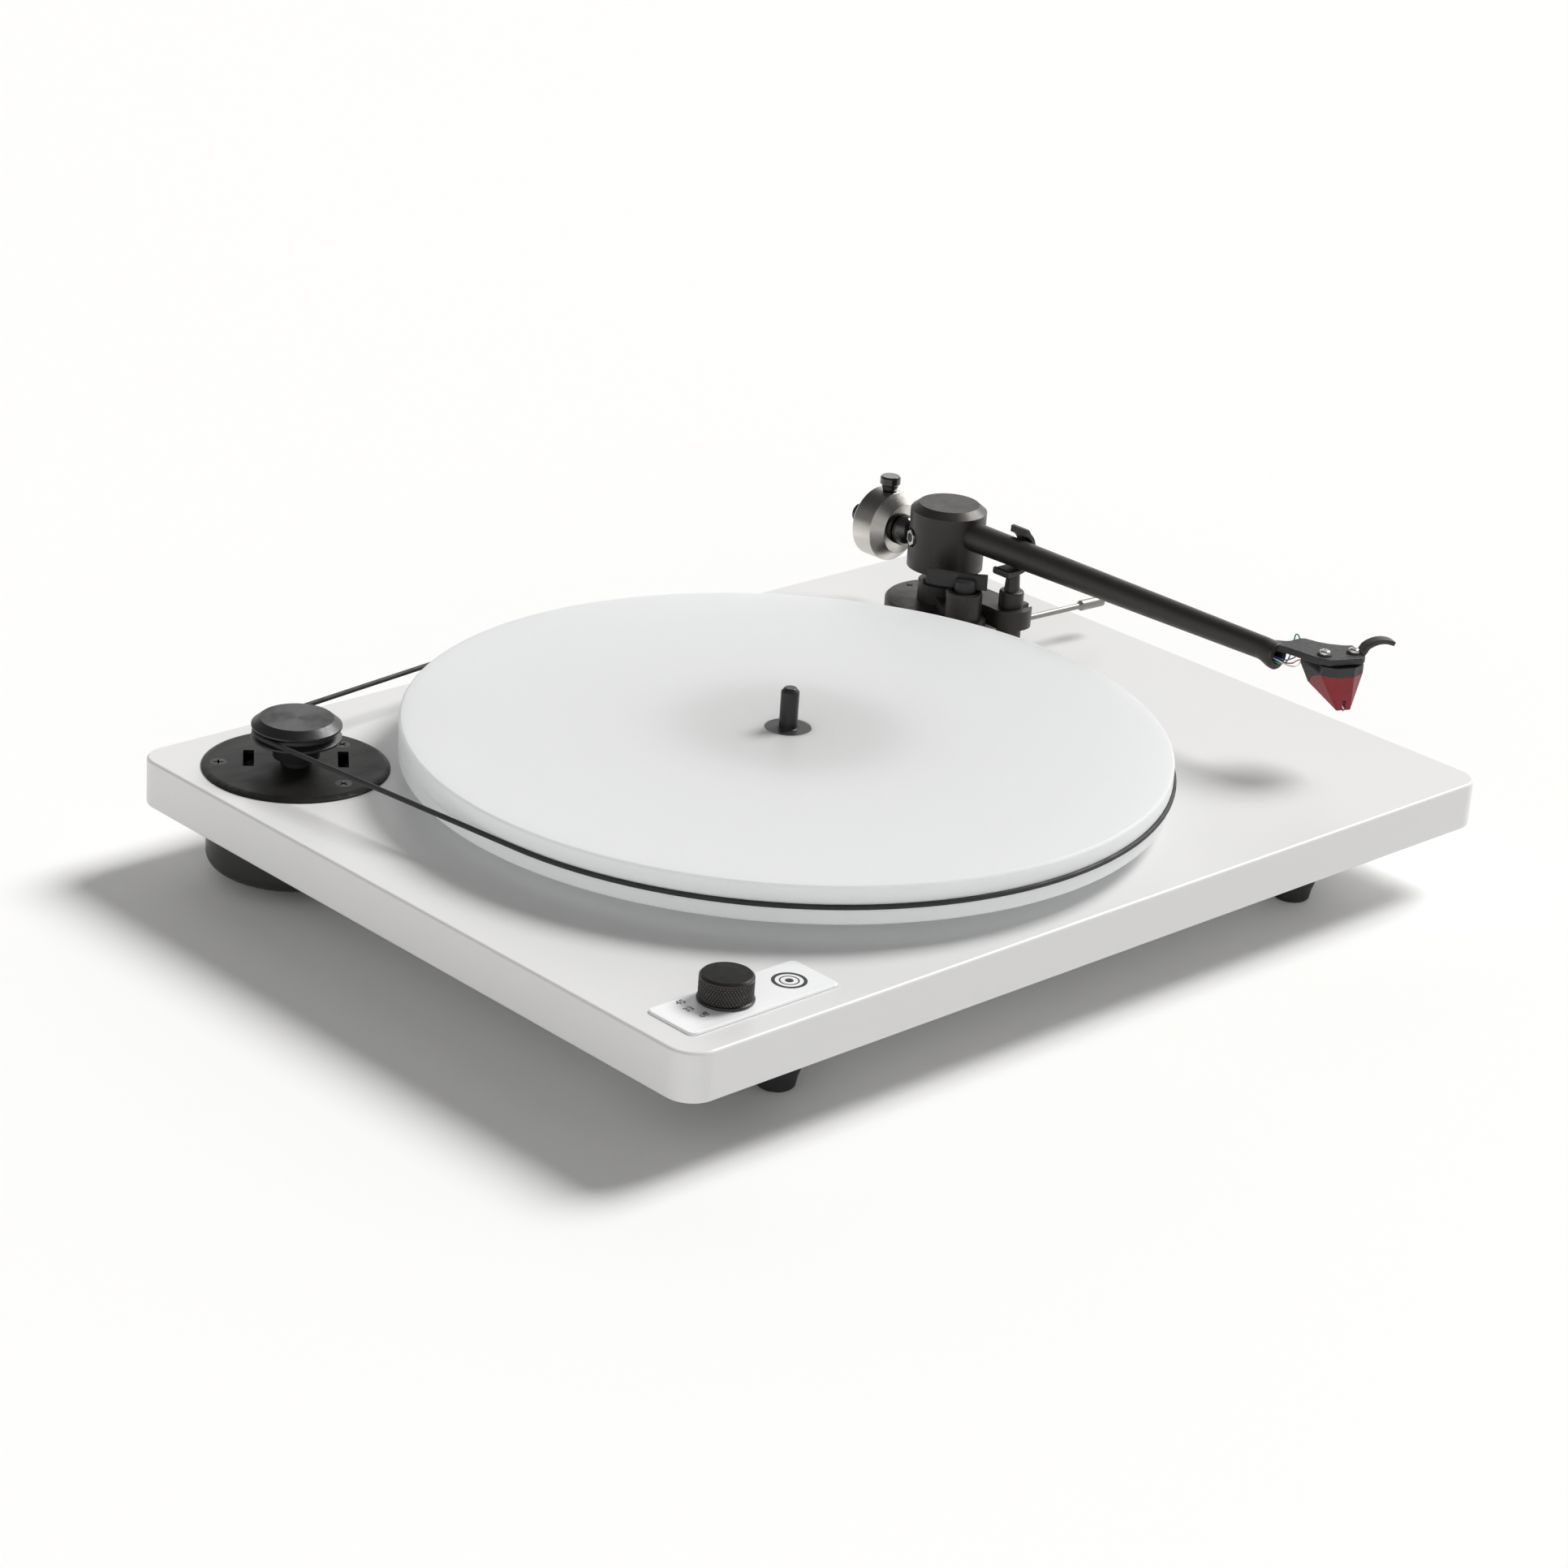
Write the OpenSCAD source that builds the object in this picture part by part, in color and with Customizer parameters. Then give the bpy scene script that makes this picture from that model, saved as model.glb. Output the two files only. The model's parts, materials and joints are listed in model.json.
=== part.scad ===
// Belt-drive record player: board plinth on three feet, outboard motor, acrylic platter,
// gimballed tonearm with a moving-magnet cartridge.
// Origin: floor level under the centre of the plinth. +X to the right, +Y to the rear, +Z up.

/* [Plinth] */
// Width of the plinth, left to right
plinth_w = 420; // [415:1:440]
// Depth of the plinth, front to rear
plinth_d = 315; // [312:1:330]
// Thickness of the board
plinth_t = 19; // [19:0.5:22]
// Corner radius in plan
plinth_corner_r = 11; // [8:0.5:14]
// Rounding of the board's long edges
plinth_edge_r = 1.2; // [0.8:0.1:1.5]
// Height of the rubber feet
foot_h = 25; // [25:0.5:28]

/* [Platter] */
// Radius of the acrylic platter
platter_r = 147; // [145:0.5:148]
// Thickness of the platter
platter_t = 15; // [14.5:0.5:16]
// Gap between the plinth and the platter
platter_gap = 7.7; // [7.5:0.1:9]
// Radius of the record spindle
spindle_r = 3.55; // [3.5:0.01:3.6]
// Height of the spindle above the platter
spindle_h = 16; // [12:0.5:18]
// Radius of the hub under the platter
hub_r = 44; // [40:1:50]

/* [Drive] */
// Radius of the motor's top plate
motor_plate_r = 35.5; // [35:0.5:37]
// Radius of the can round the motor
motor_can_r = 33.5; // [33:0.5:34]
// Radius of the pulley's flanges
pulley_flange_r = 17.1; // [17:0.1:18]
// Radius of the bottom of the pulley's groove
pulley_groove_r = 14.5; // [14:0.1:15]
// Radius of the round belt's section
belt_r = 1; // [0.8:0.05:1]

/* [Controls] */
// Length of the control plate
panel_w = 68.2; // [66:0.2:70]
// Depth of the control plate
panel_d = 23.8; // [23:0.2:25]
// Radius of the speed knob
knob_r = 9.55; // [9:0.05:9.7]
// Height of the speed knob
knob_h = 9.7; // [8:0.1:11]

/* [Tonearm] */
// Height of the arm tube's axis above the floor
arm_z = 87; // [87:0.1:88]
// Radius of the arm tube at the pivot
tube_r = 6.32; // [6.2:0.01:6.4]
// Loss of tube radius for each mm of length
tube_taper = 0.0097; // [0.009:0.0001:0.0105]
// Distance from the pivot to the middle of the cartridge screws
shell_reach = 199.3; // [198:0.1:201]
// Offset angle of the cartridge
offset_angle = 25; // [24:0.5:26]
// Radius of the counterweight
weight_r = 15.06; // [14:0.02:16]
// Distance between the cartridge screws
cartridge_pitch = 12.7; // [12.7:0.1:12.7]

/* [Hidden] */

$fn = 64;
eps = 0.01;
run_gap = 0.05;      // radial clearance of every running fit
safe_gap = 0.3;      // gap between bodies that only pass each other

black = [0.07, 0.07, 0.07];
soft_black = [0.11, 0.11, 0.11];
white = [0.93, 0.93, 0.93];
steel = [0.72, 0.71, 0.69];
alu = [0.83, 0.84, 0.85];
brass = [0.72, 0.58, 0.3];
red = [0.62, 0.06, 0.08];
green = [0.1, 0.45, 0.25];

plinth_z = foot_h;
top_z = foot_h + plinth_t;

foot_x = 138;
foot_front_y = -125;
foot_rear_y = 118;
foot_top_r = 12;
foot_spots = [[-foot_x, foot_front_y], [foot_x, foot_front_y], [0, foot_rear_y]];

platter_pos = [-23.5, -2.5];
platter_z = top_z + platter_gap;
platter_top = platter_z + platter_t;
belt_z = platter_top - 7.8;
groove_r = 1.3;                            // half-round belt groove in the platter's rim
belt_orbit = platter_r + 0.3;              // belt centre line round the platter
belt_turn = pulley_groove_r + safe_gap + belt_r;  // belt centre line round the pulley
seat_r = spindle_r + 0.45;                 // spindle where the platter and the hub sit on it
collar_r = 9;
collar_t = 1.8;
collar_top = platter_top - 0.1;
hub_joint = 50;                            // height at which the bearing shaft becomes the seat
hub_recess = 3;
hub_t = 6.2;
shaft_r = 5;
bush_r = 9;
bush_floor = 24;
ball_r = 2.4;

motor_pos = [-168, 113];
motor_bay_r = 29;
plate_t = 1.6;
motor_r = 19;
motor_top = top_z - 3;
plate_skirt = 5;
skirt_wall = 3.9;
motor_base = 22;
motor_boss_r = 5.9;
motor_shaft_r = 1.5;
can_floor = 5.5;
can_wall = 1.6;
pulley_top = 64.2;
pulley_base = 48.6;
plate_screws = [[29, 143.5], [26, -84], [26, 11]];   // [radius, angle] on the motor plate

panel_pos = [-164.6, -133.8];
panel_t = 1.3;
panel_sink = 0.4;
panel_top = top_z - panel_sink + panel_t;
knob_pos = [-171.5, -132.1];
knob_z = panel_top + 0.2;
switch_shaft_r = 3;
pocket_x = [-194, -154];
pocket_y = [-147, -118];
pocket_top = 39.5;
cover_t = 2;
cover_lip = 3.5;
channel_w = 6;
channel_h = 6;

pivot = [151.4, 88.2];
arm_turn = -88.8;                          // direction of the tube at rest
base_r = 24;
base_top = top_z + 11;
bracket_t = 8;
bracket_top = base_top + bracket_t;
pillar_r = 8.4;
pillar_top = 72;
post_at = [2, -37.7];                      // rest post, from the pivot
lift_at = [-17.1, -29];                    // cue lift, from the pivot
lift_top = 71;
lift_travel = 2.7;
piston_r = 4.4;
lever_at = [7, -41.6];                     // cue lever's hinge, from the pivot
lever_z = 57.4;
lever_r = 1.25;
lever_pin_r = 0.8;
lever_pin_half = 2.6;
swing_shaft_r = 3;
house_r = 16;
house_z = 69.7;
house_shoulder = 94.7;
house_top = 97.35;
house_top_r = 12.7;
house_wall = 2.2;
tilt_z = 83;
yoke_r = 9;
tube_root = 13.5;
tube_end = 171;
tube_bore = 3.4;
shell_shift = 12.4;                        // sideways offset of the cartridge screws
plate_top = arm_z + 3.7;
shell_t = 2.7;
shell_under = plate_top - shell_t;
stub_z = 78.2;
stub_r = 4;
weight_front = -26;
weight_back = -41.7;
weight_chamfer = 3;
screw_at = -34.8;                          // thumbscrew, along the arm

box_x = [92, 162];
box_y = [112, 148];
box_z = [6, foot_h];
box_wall = 2;
socket_z = 15;
socket_x = [151, 134];
ground_x = 117;
power_x = 102;

// ---------- general shapes ----------

module at(p, z = 0) translate([p[0], p[1], z]) children();

module rod(r, z0, z1) translate([0, 0, z0]) cylinder(r = r, h = z1 - z0);

// Rounded rectangle centred on the origin, from straight pieces and true circles
module round_rect(w, d, r) {
    square([w - 2 * r, d], center = true);
    square([w, d - 2 * r], center = true);
    for (sx = [-1, 1], sy = [-1, 1])
        translate([sx * (w / 2 - r), sy * (d / 2 - r)]) circle(r = r);
}

// Disc with rounded upper and lower rims
module soft_disc(r, t, edge) {
    rotate_extrude() {
        square([r - edge, t]);
        translate([0, edge]) square([r, t - 2 * edge]);
        for (z = [edge, t - edge])
            translate([r - edge, z]) circle(r = edge, $fn = 24);
    }
}

// Countersunk screw with its head's top at z = 0
module countersunk(head_r, shank_r, length) {
    head_t = head_r - shank_r;
    difference() {
        union() {
            translate([0, 0, -head_t]) cylinder(r1 = shank_r, r2 = head_r, h = head_t);
            rod(shank_r, -length, -head_t + eps);
        }
        cross_recess(head_r * 0.55, head_r * 0.4);
    }
}

module countersink(head_r, shank_r, length) {
    head_t = head_r - shank_r;
    translate([0, 0, -head_t]) cylinder(r1 = shank_r, r2 = head_r, h = head_t);
    rod(shank_r, -length, -head_t + eps);
    rod(head_r, -eps, 1);
}

module cross_recess(reach, depth) {
    for (a = [0, 90])
        rotate([0, 0, a]) translate([-reach, -reach / 5, -depth])
            cube([2 * reach, 2 * reach / 5, depth + 1]);
}

// Cheese-head screw hanging head down, its head's seat at z = 0
module seated_screw(head_r, head_t, shank_r, length) {
    difference() {
        union() {
            rod(head_r, -head_t, 0);
            rod(shank_r, -eps, length);
        }
        mirror([0, 0, 1]) translate([0, 0, head_t]) cross_recess(head_r * 0.55, head_t * 0.6);
    }
}

// Round wire through a list of points; each run starts a little inside the one before it
module wire(points, r) {
    for (i = [0 : len(points) - 2]) {
        span = points[i + 1] - points[i];
        reach = norm(span);
        back = i == 0 ? 0 : r / 2;
        translate(points[i]) rotate([0, acos(span[2] / reach), atan2(span[1], span[0])])
            translate([0, 0, -back]) cylinder(r = r * (1 - 0.04 * i), h = reach + back, $fn = 16);
    }
}

// ---------- plinth and feet ----------

module plinth_blank() {
    translate([0, 0, plinth_z]) hull()
        for (sx = [-1, 1], sy = [-1, 1])
            translate([sx * (plinth_w / 2 - plinth_corner_r), sy * (plinth_d / 2 - plinth_corner_r), 0])
                soft_disc(plinth_corner_r, plinth_t, plinth_edge_r);
}

module underside_slot(x, y) {
    translate([x[0], y[0], plinth_z - 1]) cube([x[1] - x[0], y[1] - y[0], channel_h + 1]);
}

module plinth() {
    color(white) difference() {
        plinth_blank();
        at(platter_pos) rod(bush_r, plinth_z - 1, top_z + 1);
        at(motor_pos) rod(motor_bay_r, plinth_z - 1, top_z + 1);
        at(pivot) rod(6, plinth_z - 1, top_z + 1);
        at(panel_pos, top_z - panel_sink) linear_extrude(2) round_rect(panel_w + 0.5, panel_d + 0.5, 3.2);
        at(knob_pos) rod(4, plinth_z, top_z);
        translate([pocket_x[0], pocket_y[0], plinth_z - 1])
            cube([pocket_x[1] - pocket_x[0], pocket_y[1] - pocket_y[0], pocket_top - plinth_z + 1]);
        translate([pocket_x[0] - cover_lip, pocket_y[0] - cover_lip, plinth_z - 1])
            cube([pocket_x[1] - pocket_x[0] + 2 * cover_lip,
                pocket_y[1] - pocket_y[0] + 2 * cover_lip, cover_t + 1]);
        underside_slot([-186, -186 + channel_w], [pocket_y[1] - 1, 92]);
        underside_slot([-152, box_x[0] + 8], [133, 133 + channel_w]);
        underside_slot([pivot[0] - channel_w / 2, pivot[0] + channel_w / 2], [pivot[1], box_y[0] + 8]);
        for (p = foot_spots) at(p) rod(1.9, plinth_z - 1, plinth_z + 12);
        for (p = cover_screw_spots) at(p) rod(1.2, plinth_z - 1, plinth_z + 9);
        for (p = plate_screws) at(motor_pos) rotate([0, 0, p[1]]) translate([p[0], 0, 0])
            rod(1.3, top_z - 9, top_z + 1);
        for (a = bush_angles) at(platter_pos) rotate([0, 0, a]) translate([12.5, 0, 0])
            rod(1.3, plinth_z - 1, plinth_z + 10);
        for (a = base_angles) at(pivot) rotate([0, 0, a]) translate([19, 0, 0])
            rod(1.7, top_z - 12, top_z + 1);
        for (x = box_ears) at([x, 130]) rod(1.3, plinth_z - 1, plinth_z + 9);
    }
}

cover_screw_spots = [for (x = [pocket_x[0] - 1.6, pocket_x[1] + 1.6],
    y = [pocket_y[0] - 1.6, pocket_y[1] + 1.6]) [x, y]];
bush_angles = [30, 150, 270];
base_angles = [91, 211, 331];
box_ears = [box_x[0] - 4, box_x[1] + 4];

module foot(p) {
    at(p) color(black) rotate_extrude() difference() {
        polygon([[0, 0], [6.4, 0], [7, 0.6], [7.6, 4], [11.4, 16], [foot_top_r, 18],
            [foot_top_r, foot_h], [0, foot_h]]);
        square([4.5, 12]);
        translate([0, 12 - eps]) square([1.9, foot_h]);
    }
}

module foot_front_left() foot(foot_spots[0]);
module foot_front_right() foot(foot_spots[1]);
module foot_rear() foot(foot_spots[2]);

module foot_screws() {
    color(steel) for (p = foot_spots) at(p, 12) seated_screw(3.9, 2.6, 1.9, foot_h - 1);
}

// ---------- controls ----------

module control_panel() {
    color(alu) difference() {
        at(panel_pos, top_z - panel_sink) linear_extrude(panel_t) round_rect(panel_w, panel_d, 3);
        at(knob_pos) rod(4, top_z - 1, panel_top + 1);
    }
}

module speed_knob() {
    at(knob_pos, knob_z) color(black) difference() {
        rotate_extrude() polygon([[0, 0], [10.07, 0], [10.07, 0.9], [knob_r, 1.5],
            [knob_r, knob_h - 0.9], [knob_r - 0.85, knob_h], [0, knob_h]]);
        rod(switch_shaft_r, -1, knob_h - 2.5);
    }
}

module switch_shaft() {
    at(knob_pos) color(steel) rod(switch_shaft_r, 33, knob_z + knob_h - 2.5);
}

module rotary_switch() {
    at(knob_pos) color(soft_black) difference() {
        union() {
            translate([-9, -9, 30.5]) cube([18, 18, pocket_top - 30.5]);
            rod(3.9, pocket_top - eps, panel_top - 0.4);
        }
        rod(switch_shaft_r + run_gap, 32.5, panel_top + 1);
    }
}

module control_board() {
    board_x = pocket_x[0] + 1.5;
    board_w = pocket_x[1] - pocket_x[0] - 3;
    board_d = pocket_y[1] - pocket_y[0] - 3;
    color(green) translate([board_x, pocket_y[0] + 1.5, 28.9]) {
        cube([board_w, board_d, 1.6]);
        translate([30, 4, 1.6 - eps]) cube([5, 6, 1.8]);
        translate([2.5, 6, 1.6 - eps]) cube([6, 4, 1.8]);
        translate([33, 20, 1.6 - eps]) cylinder(r = 2.5, h = 5);
        translate([4, 21, 1.6 - eps]) cylinder(r = 2, h = 4);
    }
}

module electronics_cover() {
    color(black) difference() {
        translate([pocket_x[0] - cover_lip, pocket_y[0] - cover_lip, plinth_z])
            cube([pocket_x[1] - pocket_x[0] + 2 * cover_lip,
                pocket_y[1] - pocket_y[0] + 2 * cover_lip, cover_t]);
        for (p = cover_screw_spots) at(p) rod(1.2, plinth_z - 1, plinth_z + cover_t + 1);
    }
}

module cover_screws() {
    color(black) for (p = cover_screw_spots) at(p, plinth_z) seated_screw(2.1, 1.2, 1.2, 8);
}

// ---------- motor and belt ----------

module plate_slot(side) {
    rotate([0, 0, 53.5]) translate([4 - 7.8, side * 17.8 - 2.05, -5]) cube([15.6, 4.1, 10]);
}

module motor_plate() {
    at(motor_pos, top_z) color(soft_black) difference() {
        union() {
            rotate_extrude() polygon([[0, 0], [motor_plate_r, 0], [motor_plate_r, 0.5],
                [motor_plate_r - 2.4, plate_t], [0, plate_t]]);
            difference() {
                rod(motor_bay_r - 0.1, -plate_skirt, eps);
                rod(motor_bay_r - 0.1 - skirt_wall, -plate_skirt - 1, 1);
            }
        }
        rod(motor_boss_r, -1, plate_t + 1);
        for (side = [-1, 1]) plate_slot(side);
        for (p = plate_screws) rotate([0, 0, p[1]]) translate([p[0], 0, plate_t])
            countersink(3.2, 1.6, 12);
    }
}

module motor_plate_screws() {
    at(motor_pos, top_z + plate_t) color(soft_black)
        for (p = plate_screws) rotate([0, 0, p[1]]) translate([p[0], 0, 0]) {
            difference() {
                translate([0, 0, -1.6]) cylinder(r1 = 1.6, r2 = 3.2, h = 1.6);
                cross_recess(1.8, 1.2);
            }
            rod(1.3, -9, -1.6 + eps);
        }
}

module motor_body() {
    at(motor_pos) color(soft_black) difference() {
        union() {
            translate([0, 0, motor_base]) soft_disc(motor_r, motor_top - motor_base, 1);
            rod(motor_boss_r - 0.3, motor_top - 2, 47.2);
            rod(4, 9, motor_base + 1);
        }
        rod(motor_shaft_r + run_gap, motor_base + 4, 48);
        rod(1.3, 8, 20);
    }
}

module motor_can() {
    edge = 5;
    at(motor_pos) color(black) difference() {
        rotate_extrude() {
            translate([0, can_floor]) square([motor_can_r - edge, plinth_z - can_floor]);
            translate([0, can_floor + edge]) square([motor_can_r, plinth_z - can_floor - edge]);
            translate([motor_can_r - edge, can_floor + edge]) circle(r = edge);
        }
        rod(motor_can_r - can_wall, can_floor + edge, plinth_z + 1);
        rod(motor_can_r - edge, can_floor + can_wall, plinth_z);
        rod(1.5, can_floor - 1, can_floor + 3);
    }
}

module motor_can_screw() {
    at(motor_pos, can_floor) color(steel) seated_screw(2.6, 1.4, 1.3, 12);
}

module motor_shaft() {
    at(motor_pos) color(steel) rod(motor_shaft_r, motor_base + 5, pulley_top - 2.5);
}

module pulley() {
    at(motor_pos) color(black) difference() {
        rotate_extrude() polygon([[0, pulley_base], [8.85, pulley_base], [8.85, 53.4],
            [pulley_flange_r, belt_z - 2.8], [pulley_flange_r, belt_z - 2],
            [pulley_groove_r, belt_z - 0.7], [pulley_groove_r, belt_z + 0.7],
            [pulley_flange_r, belt_z + 2], [pulley_flange_r, belt_z + 2.7],
            [14, pulley_top], [0, pulley_top]]);
        rod(motor_shaft_r, pulley_base - 1, pulley_top - 2.5);
        translate([0, 0, 51]) rotate([0, 90, 200]) rod(1.3, 0, 12);
    }
}

module pulley_grub_screw() {
    at(motor_pos, 51) color(steel) rotate([0, 90, 200]) rod(1.3, motor_shaft_r + 0.05, 8.2);
}

// Round belt: two arcs and two straight runs
module drive_belt() {
    gap = motor_pos - platter_pos;
    span = norm(gap);
    bearing = atan2(gap[1], gap[0]);
    lean = acos((belt_orbit - belt_turn) / span);
    run = sqrt(span * span - pow(belt_orbit - belt_turn, 2));
    lap = 0.4;
    color(black) translate([0, 0, belt_z]) {
        at(platter_pos) rotate([0, 0, bearing + lean])
            rotate_extrude(angle = 360 - 2 * lean, $fn = 128)
                translate([belt_orbit, 0]) circle(r = belt_r, $fn = 24);
        at(motor_pos) rotate([0, 0, bearing - lean])
            rotate_extrude(angle = 2 * lean) translate([belt_turn, 0]) circle(r = belt_r, $fn = 24);
        for (side = [-1, 1])
            at(motor_pos) rotate([0, 0, bearing + side * lean]) translate([belt_turn, 0, 0])
                rotate([-side * 90, 0, 0]) translate([0, 0, -lap])
                    cylinder(r = belt_r - 0.02, h = run + 2 * lap, $fn = 24);
    }
}

// ---------- platter and bearing ----------

module platter() {
    chamfer = 0.8;
    at(platter_pos) color(white, 0.85) difference() {
        rotate_extrude($fn = 128) difference() {
            polygon([[0, platter_z], [platter_r - chamfer, platter_z], [platter_r, platter_z + chamfer],
                [platter_r, platter_top - chamfer], [platter_r - chamfer, platter_top], [0, platter_top]]);
            translate([belt_orbit, belt_z]) circle(r = groove_r);
        }
        rod(seat_r, platter_z - 1, platter_top + 1);
        rod(collar_r, platter_top - collar_t, platter_top + 1);
        rod(hub_r, platter_z - 1, platter_z + hub_recess);
    }
}

module platter_hub() {
    hub_top = platter_z + hub_recess;
    at(platter_pos) color(soft_black) difference() {
        union() {
            rod(hub_r, hub_top - hub_t, hub_top);
            rod(14, bush_z_top + 0.4, hub_top - hub_t + eps);
        }
        rod(shaft_r, top_z, hub_joint);
        rod(seat_r, hub_joint - 1, hub_top + 1);
    }
}

bush_z_top = top_z + 1;

module spindle() {
    tip = platter_top + spindle_h;
    chamfer = 1.6;
    at(platter_pos) color(steel) {
        rod(shaft_r, bush_floor + 2 * ball_r + 0.1, hub_joint);
        rod(seat_r, hub_joint - eps, collar_top);
        rod(spindle_r, collar_top - eps, tip - chamfer);
        translate([0, 0, tip - chamfer]) cylinder(r1 = spindle_r, r2 = spindle_r - 1.3, h = chamfer);
    }
}

module spindle_collar() {
    at(platter_pos) color(black) difference() {
        rod(collar_r, platter_top - collar_t, collar_top);
        rod(seat_r, platter_top - 3, platter_top + 1);
    }
}

module bearing_bush() {
    at(platter_pos) color(brass) difference() {
        union() {
            rod(bush_r, plinth_z - eps, bush_z_top);
            rod(16, plinth_z - 3, plinth_z);
            rod(8, 17, plinth_z - 3 + eps);
        }
        rod(shaft_r + run_gap, bush_floor, bush_z_top + 1);
        for (a = bush_angles) rotate([0, 0, a]) translate([12.5, 0, 0]) rod(1.3, 20, plinth_z + 1);
    }
}

module bearing_ball() {
    at(platter_pos, bush_floor + ball_r) color(steel) sphere(r = ball_r);
}

module bearing_screws() {
    at(platter_pos, plinth_z - 3) color(steel)
        for (a = bush_angles) rotate([0, 0, a]) translate([12.5, 0, 0]) seated_screw(2.4, 1.4, 1.3, 12);
}

// ---------- tonearm base, rest and lift ----------

module arm_base() {
    at(pivot) color(soft_black) difference() {
        rotate_extrude() polygon([[0, top_z], [base_r, top_z], [base_r, base_top - 0.8],
            [base_r - 0.8, base_top], [0, base_top]]);
        rod(6, top_z - 1, base_top + 1);
        for (a = base_angles) rotate([0, 0, a]) translate([19, 0, base_top]) countersink(3.3, 1.7, 14);
    }
}

module arm_base_screws() {
    at(pivot, base_top) color(soft_black)
        for (a = base_angles) rotate([0, 0, a]) translate([19, 0, 0]) countersunk(3.3, 1.7, 22);
}

module pivot_pillar() {
    at(pivot) color(soft_black) difference() {
        union() {
            rod(6, top_z - 10, base_top + eps);
            rod(pillar_r, base_top, pillar_top);
        }
        rod(5, pillar_top - 5, pillar_top + 1);
        rod(swing_shaft_r + 0.6, top_z - 11, pillar_top);
        rod(5, top_z - 11, top_z - 5);
    }
}

module pivot_bearings() {
    at(pivot) color(steel) difference() {
        union() {
            rod(5, pillar_top - 5, pillar_top - 0.5);
            rod(5, top_z - 9.5, top_z - 5);
        }
        rod(swing_shaft_r + run_gap, top_z - 20, pillar_top + 1);
    }
}

module lever_slot() {
    at(lever_at) translate([-3, -1.6, lever_z - 2]) cube([20, 3.2, 20]);
}

module rest_bracket() {
    at(pivot) color(soft_black) difference() {
        union() {
            translate([0, 0, base_top]) linear_extrude(bracket_t) {
                circle(r = 10.5);
                translate([-6.7, post_at[1]]) square([15.4, -post_at[1]]);
                translate(post_at) circle(r = 9);
            }
            // thinner web that carries the cue lift
            translate([0, 0, base_top + 0.3]) linear_extrude(3.7) {
                rotate(atan2(lift_at[1], lift_at[0])) translate([0, -5.5]) square([norm(lift_at), 11]);
                translate(lift_at) circle(r = 9.6);
            }
            at(post_at) rod(5.2, top_z, base_top + eps);
        }
        rod(pillar_r, base_top - 1, bracket_top + 1);
        at(lift_at) rod(7.5, base_top - 1, bracket_top + 1);
        lever_slot();
        translate([lever_at[0], lever_at[1], lever_z]) rotate([90, 0, 0])
            rod(lever_pin_r, -lever_pin_half, lever_pin_half);
        translate([0, 0, base_top + 4]) rotate([0, 90, 40]) rod(1.5, 0, 20);
    }
}

module bracket_grub_screw() {
    at(pivot, base_top + 4) color(steel) rotate([0, 90, 40]) rod(1.5, pillar_r + 0.1, 10.2);
}

module rest_post() {
    at(pivot) at(post_at) color(soft_black) rotate_extrude()
        polygon([[0, bracket_top], [5.2, bracket_top], [5.2, bracket_top + 6.4], [4.6, bracket_top + 7],
            [3.3, bracket_top + 7], [2.7, clip_base], [0, clip_base]]);
}

clip_base = arm_z - 0.5 - 8.4;

// Open cradle round the tube: back wall, short hook above, flat shelf below, open to the platter
module rest_clip() {
    bore = 6.4;
    wall = 2;
    low = arm_z - 0.5;
    high = arm_z + 1.3;
    color(soft_black) {
        at(pivot) at(post_at) translate([-4.5, 4.5, 0]) rotate([90, 0, 0]) linear_extrude(9)
            translate([3.5, 0]) difference() {
                union() {
                    translate([0, low]) circle(r = bore + wall);
                    translate([0, high]) circle(r = bore + wall);
                    translate([0, low]) square([bore + wall, high - low]);
                    translate([-6.4, clip_base]) square([7, wall]);
                }
                translate([0, low]) circle(r = bore);
                translate([0, high]) circle(r = bore);
                translate([-20, low]) square([20 + bore, high - low]);
                translate([-20, clip_base + wall]) square([21.5, 40]);
            }
        at(pivot) at(post_at) rod(2.7, clip_base, clip_base + 1.2);
    }
}

module lift_cylinder() {
    at(pivot) at(lift_at) color(soft_black) difference() {
        union() {
            rod(7.5, base_top - 5, lift_top - 0.6);
            translate([0, 0, lift_top - 0.6]) cylinder(r1 = 7.5, r2 = 6.9, h = 0.6);
        }
        rod(piston_r + run_gap, base_top - 3, lift_top + 1);
        rod(5.9, lift_top - 2.2, lift_top + 1);
    }
}

// Piston and the curved bar that carries the arm tube
module lift_platform() {
    bar_ends = [[-24.3, -13.8], [-9.8, -34.4]];
    bar_bend = 60;
    bar_t = 2.2;
    bar_h = 6.4;
    chord = bar_ends[1] - bar_ends[0];
    middle = (bar_ends[0] + bar_ends[1]) / 2;
    side = [-chord[1], chord[0]] / norm(chord);
    sag = sqrt(bar_bend * bar_bend - pow(norm(chord) / 2, 2));
    centre = middle + side * sag;
    spread = asin(norm(chord) / 2 / bar_bend);
    facing = atan2(-side[1], -side[0]);
    color(soft_black) {
        at(pivot) at(lift_at) {
            rod(piston_r, base_top - 2.5, 75.2);
            translate([0, 0, 75.2 - eps]) cylinder(r1 = piston_r, r2 = piston_r - 0.5, h = 0.6);
        }
        at(pivot) at(centre, lift_top + 0.2) rotate([0, 0, facing - spread])
            rotate_extrude(angle = 2 * spread, $fn = 256)
                translate([bar_bend - bar_t / 2, 0]) square([bar_t, bar_h]);
        // foot that ties the bar to the piston
        at(pivot) at(lift_at) rotate([0, 0, atan2(-side[1], -side[0]) + 180])
            translate([0, -3, lift_top + 0.2]) cube([5.2, 6, 3.4]);
    }
}

module lever_pin() {
    at(pivot) at(lever_at, lever_z) color(steel) rotate([90, 0, 0])
        rod(lever_pin_r, -lever_pin_half, lever_pin_half);
}

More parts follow.
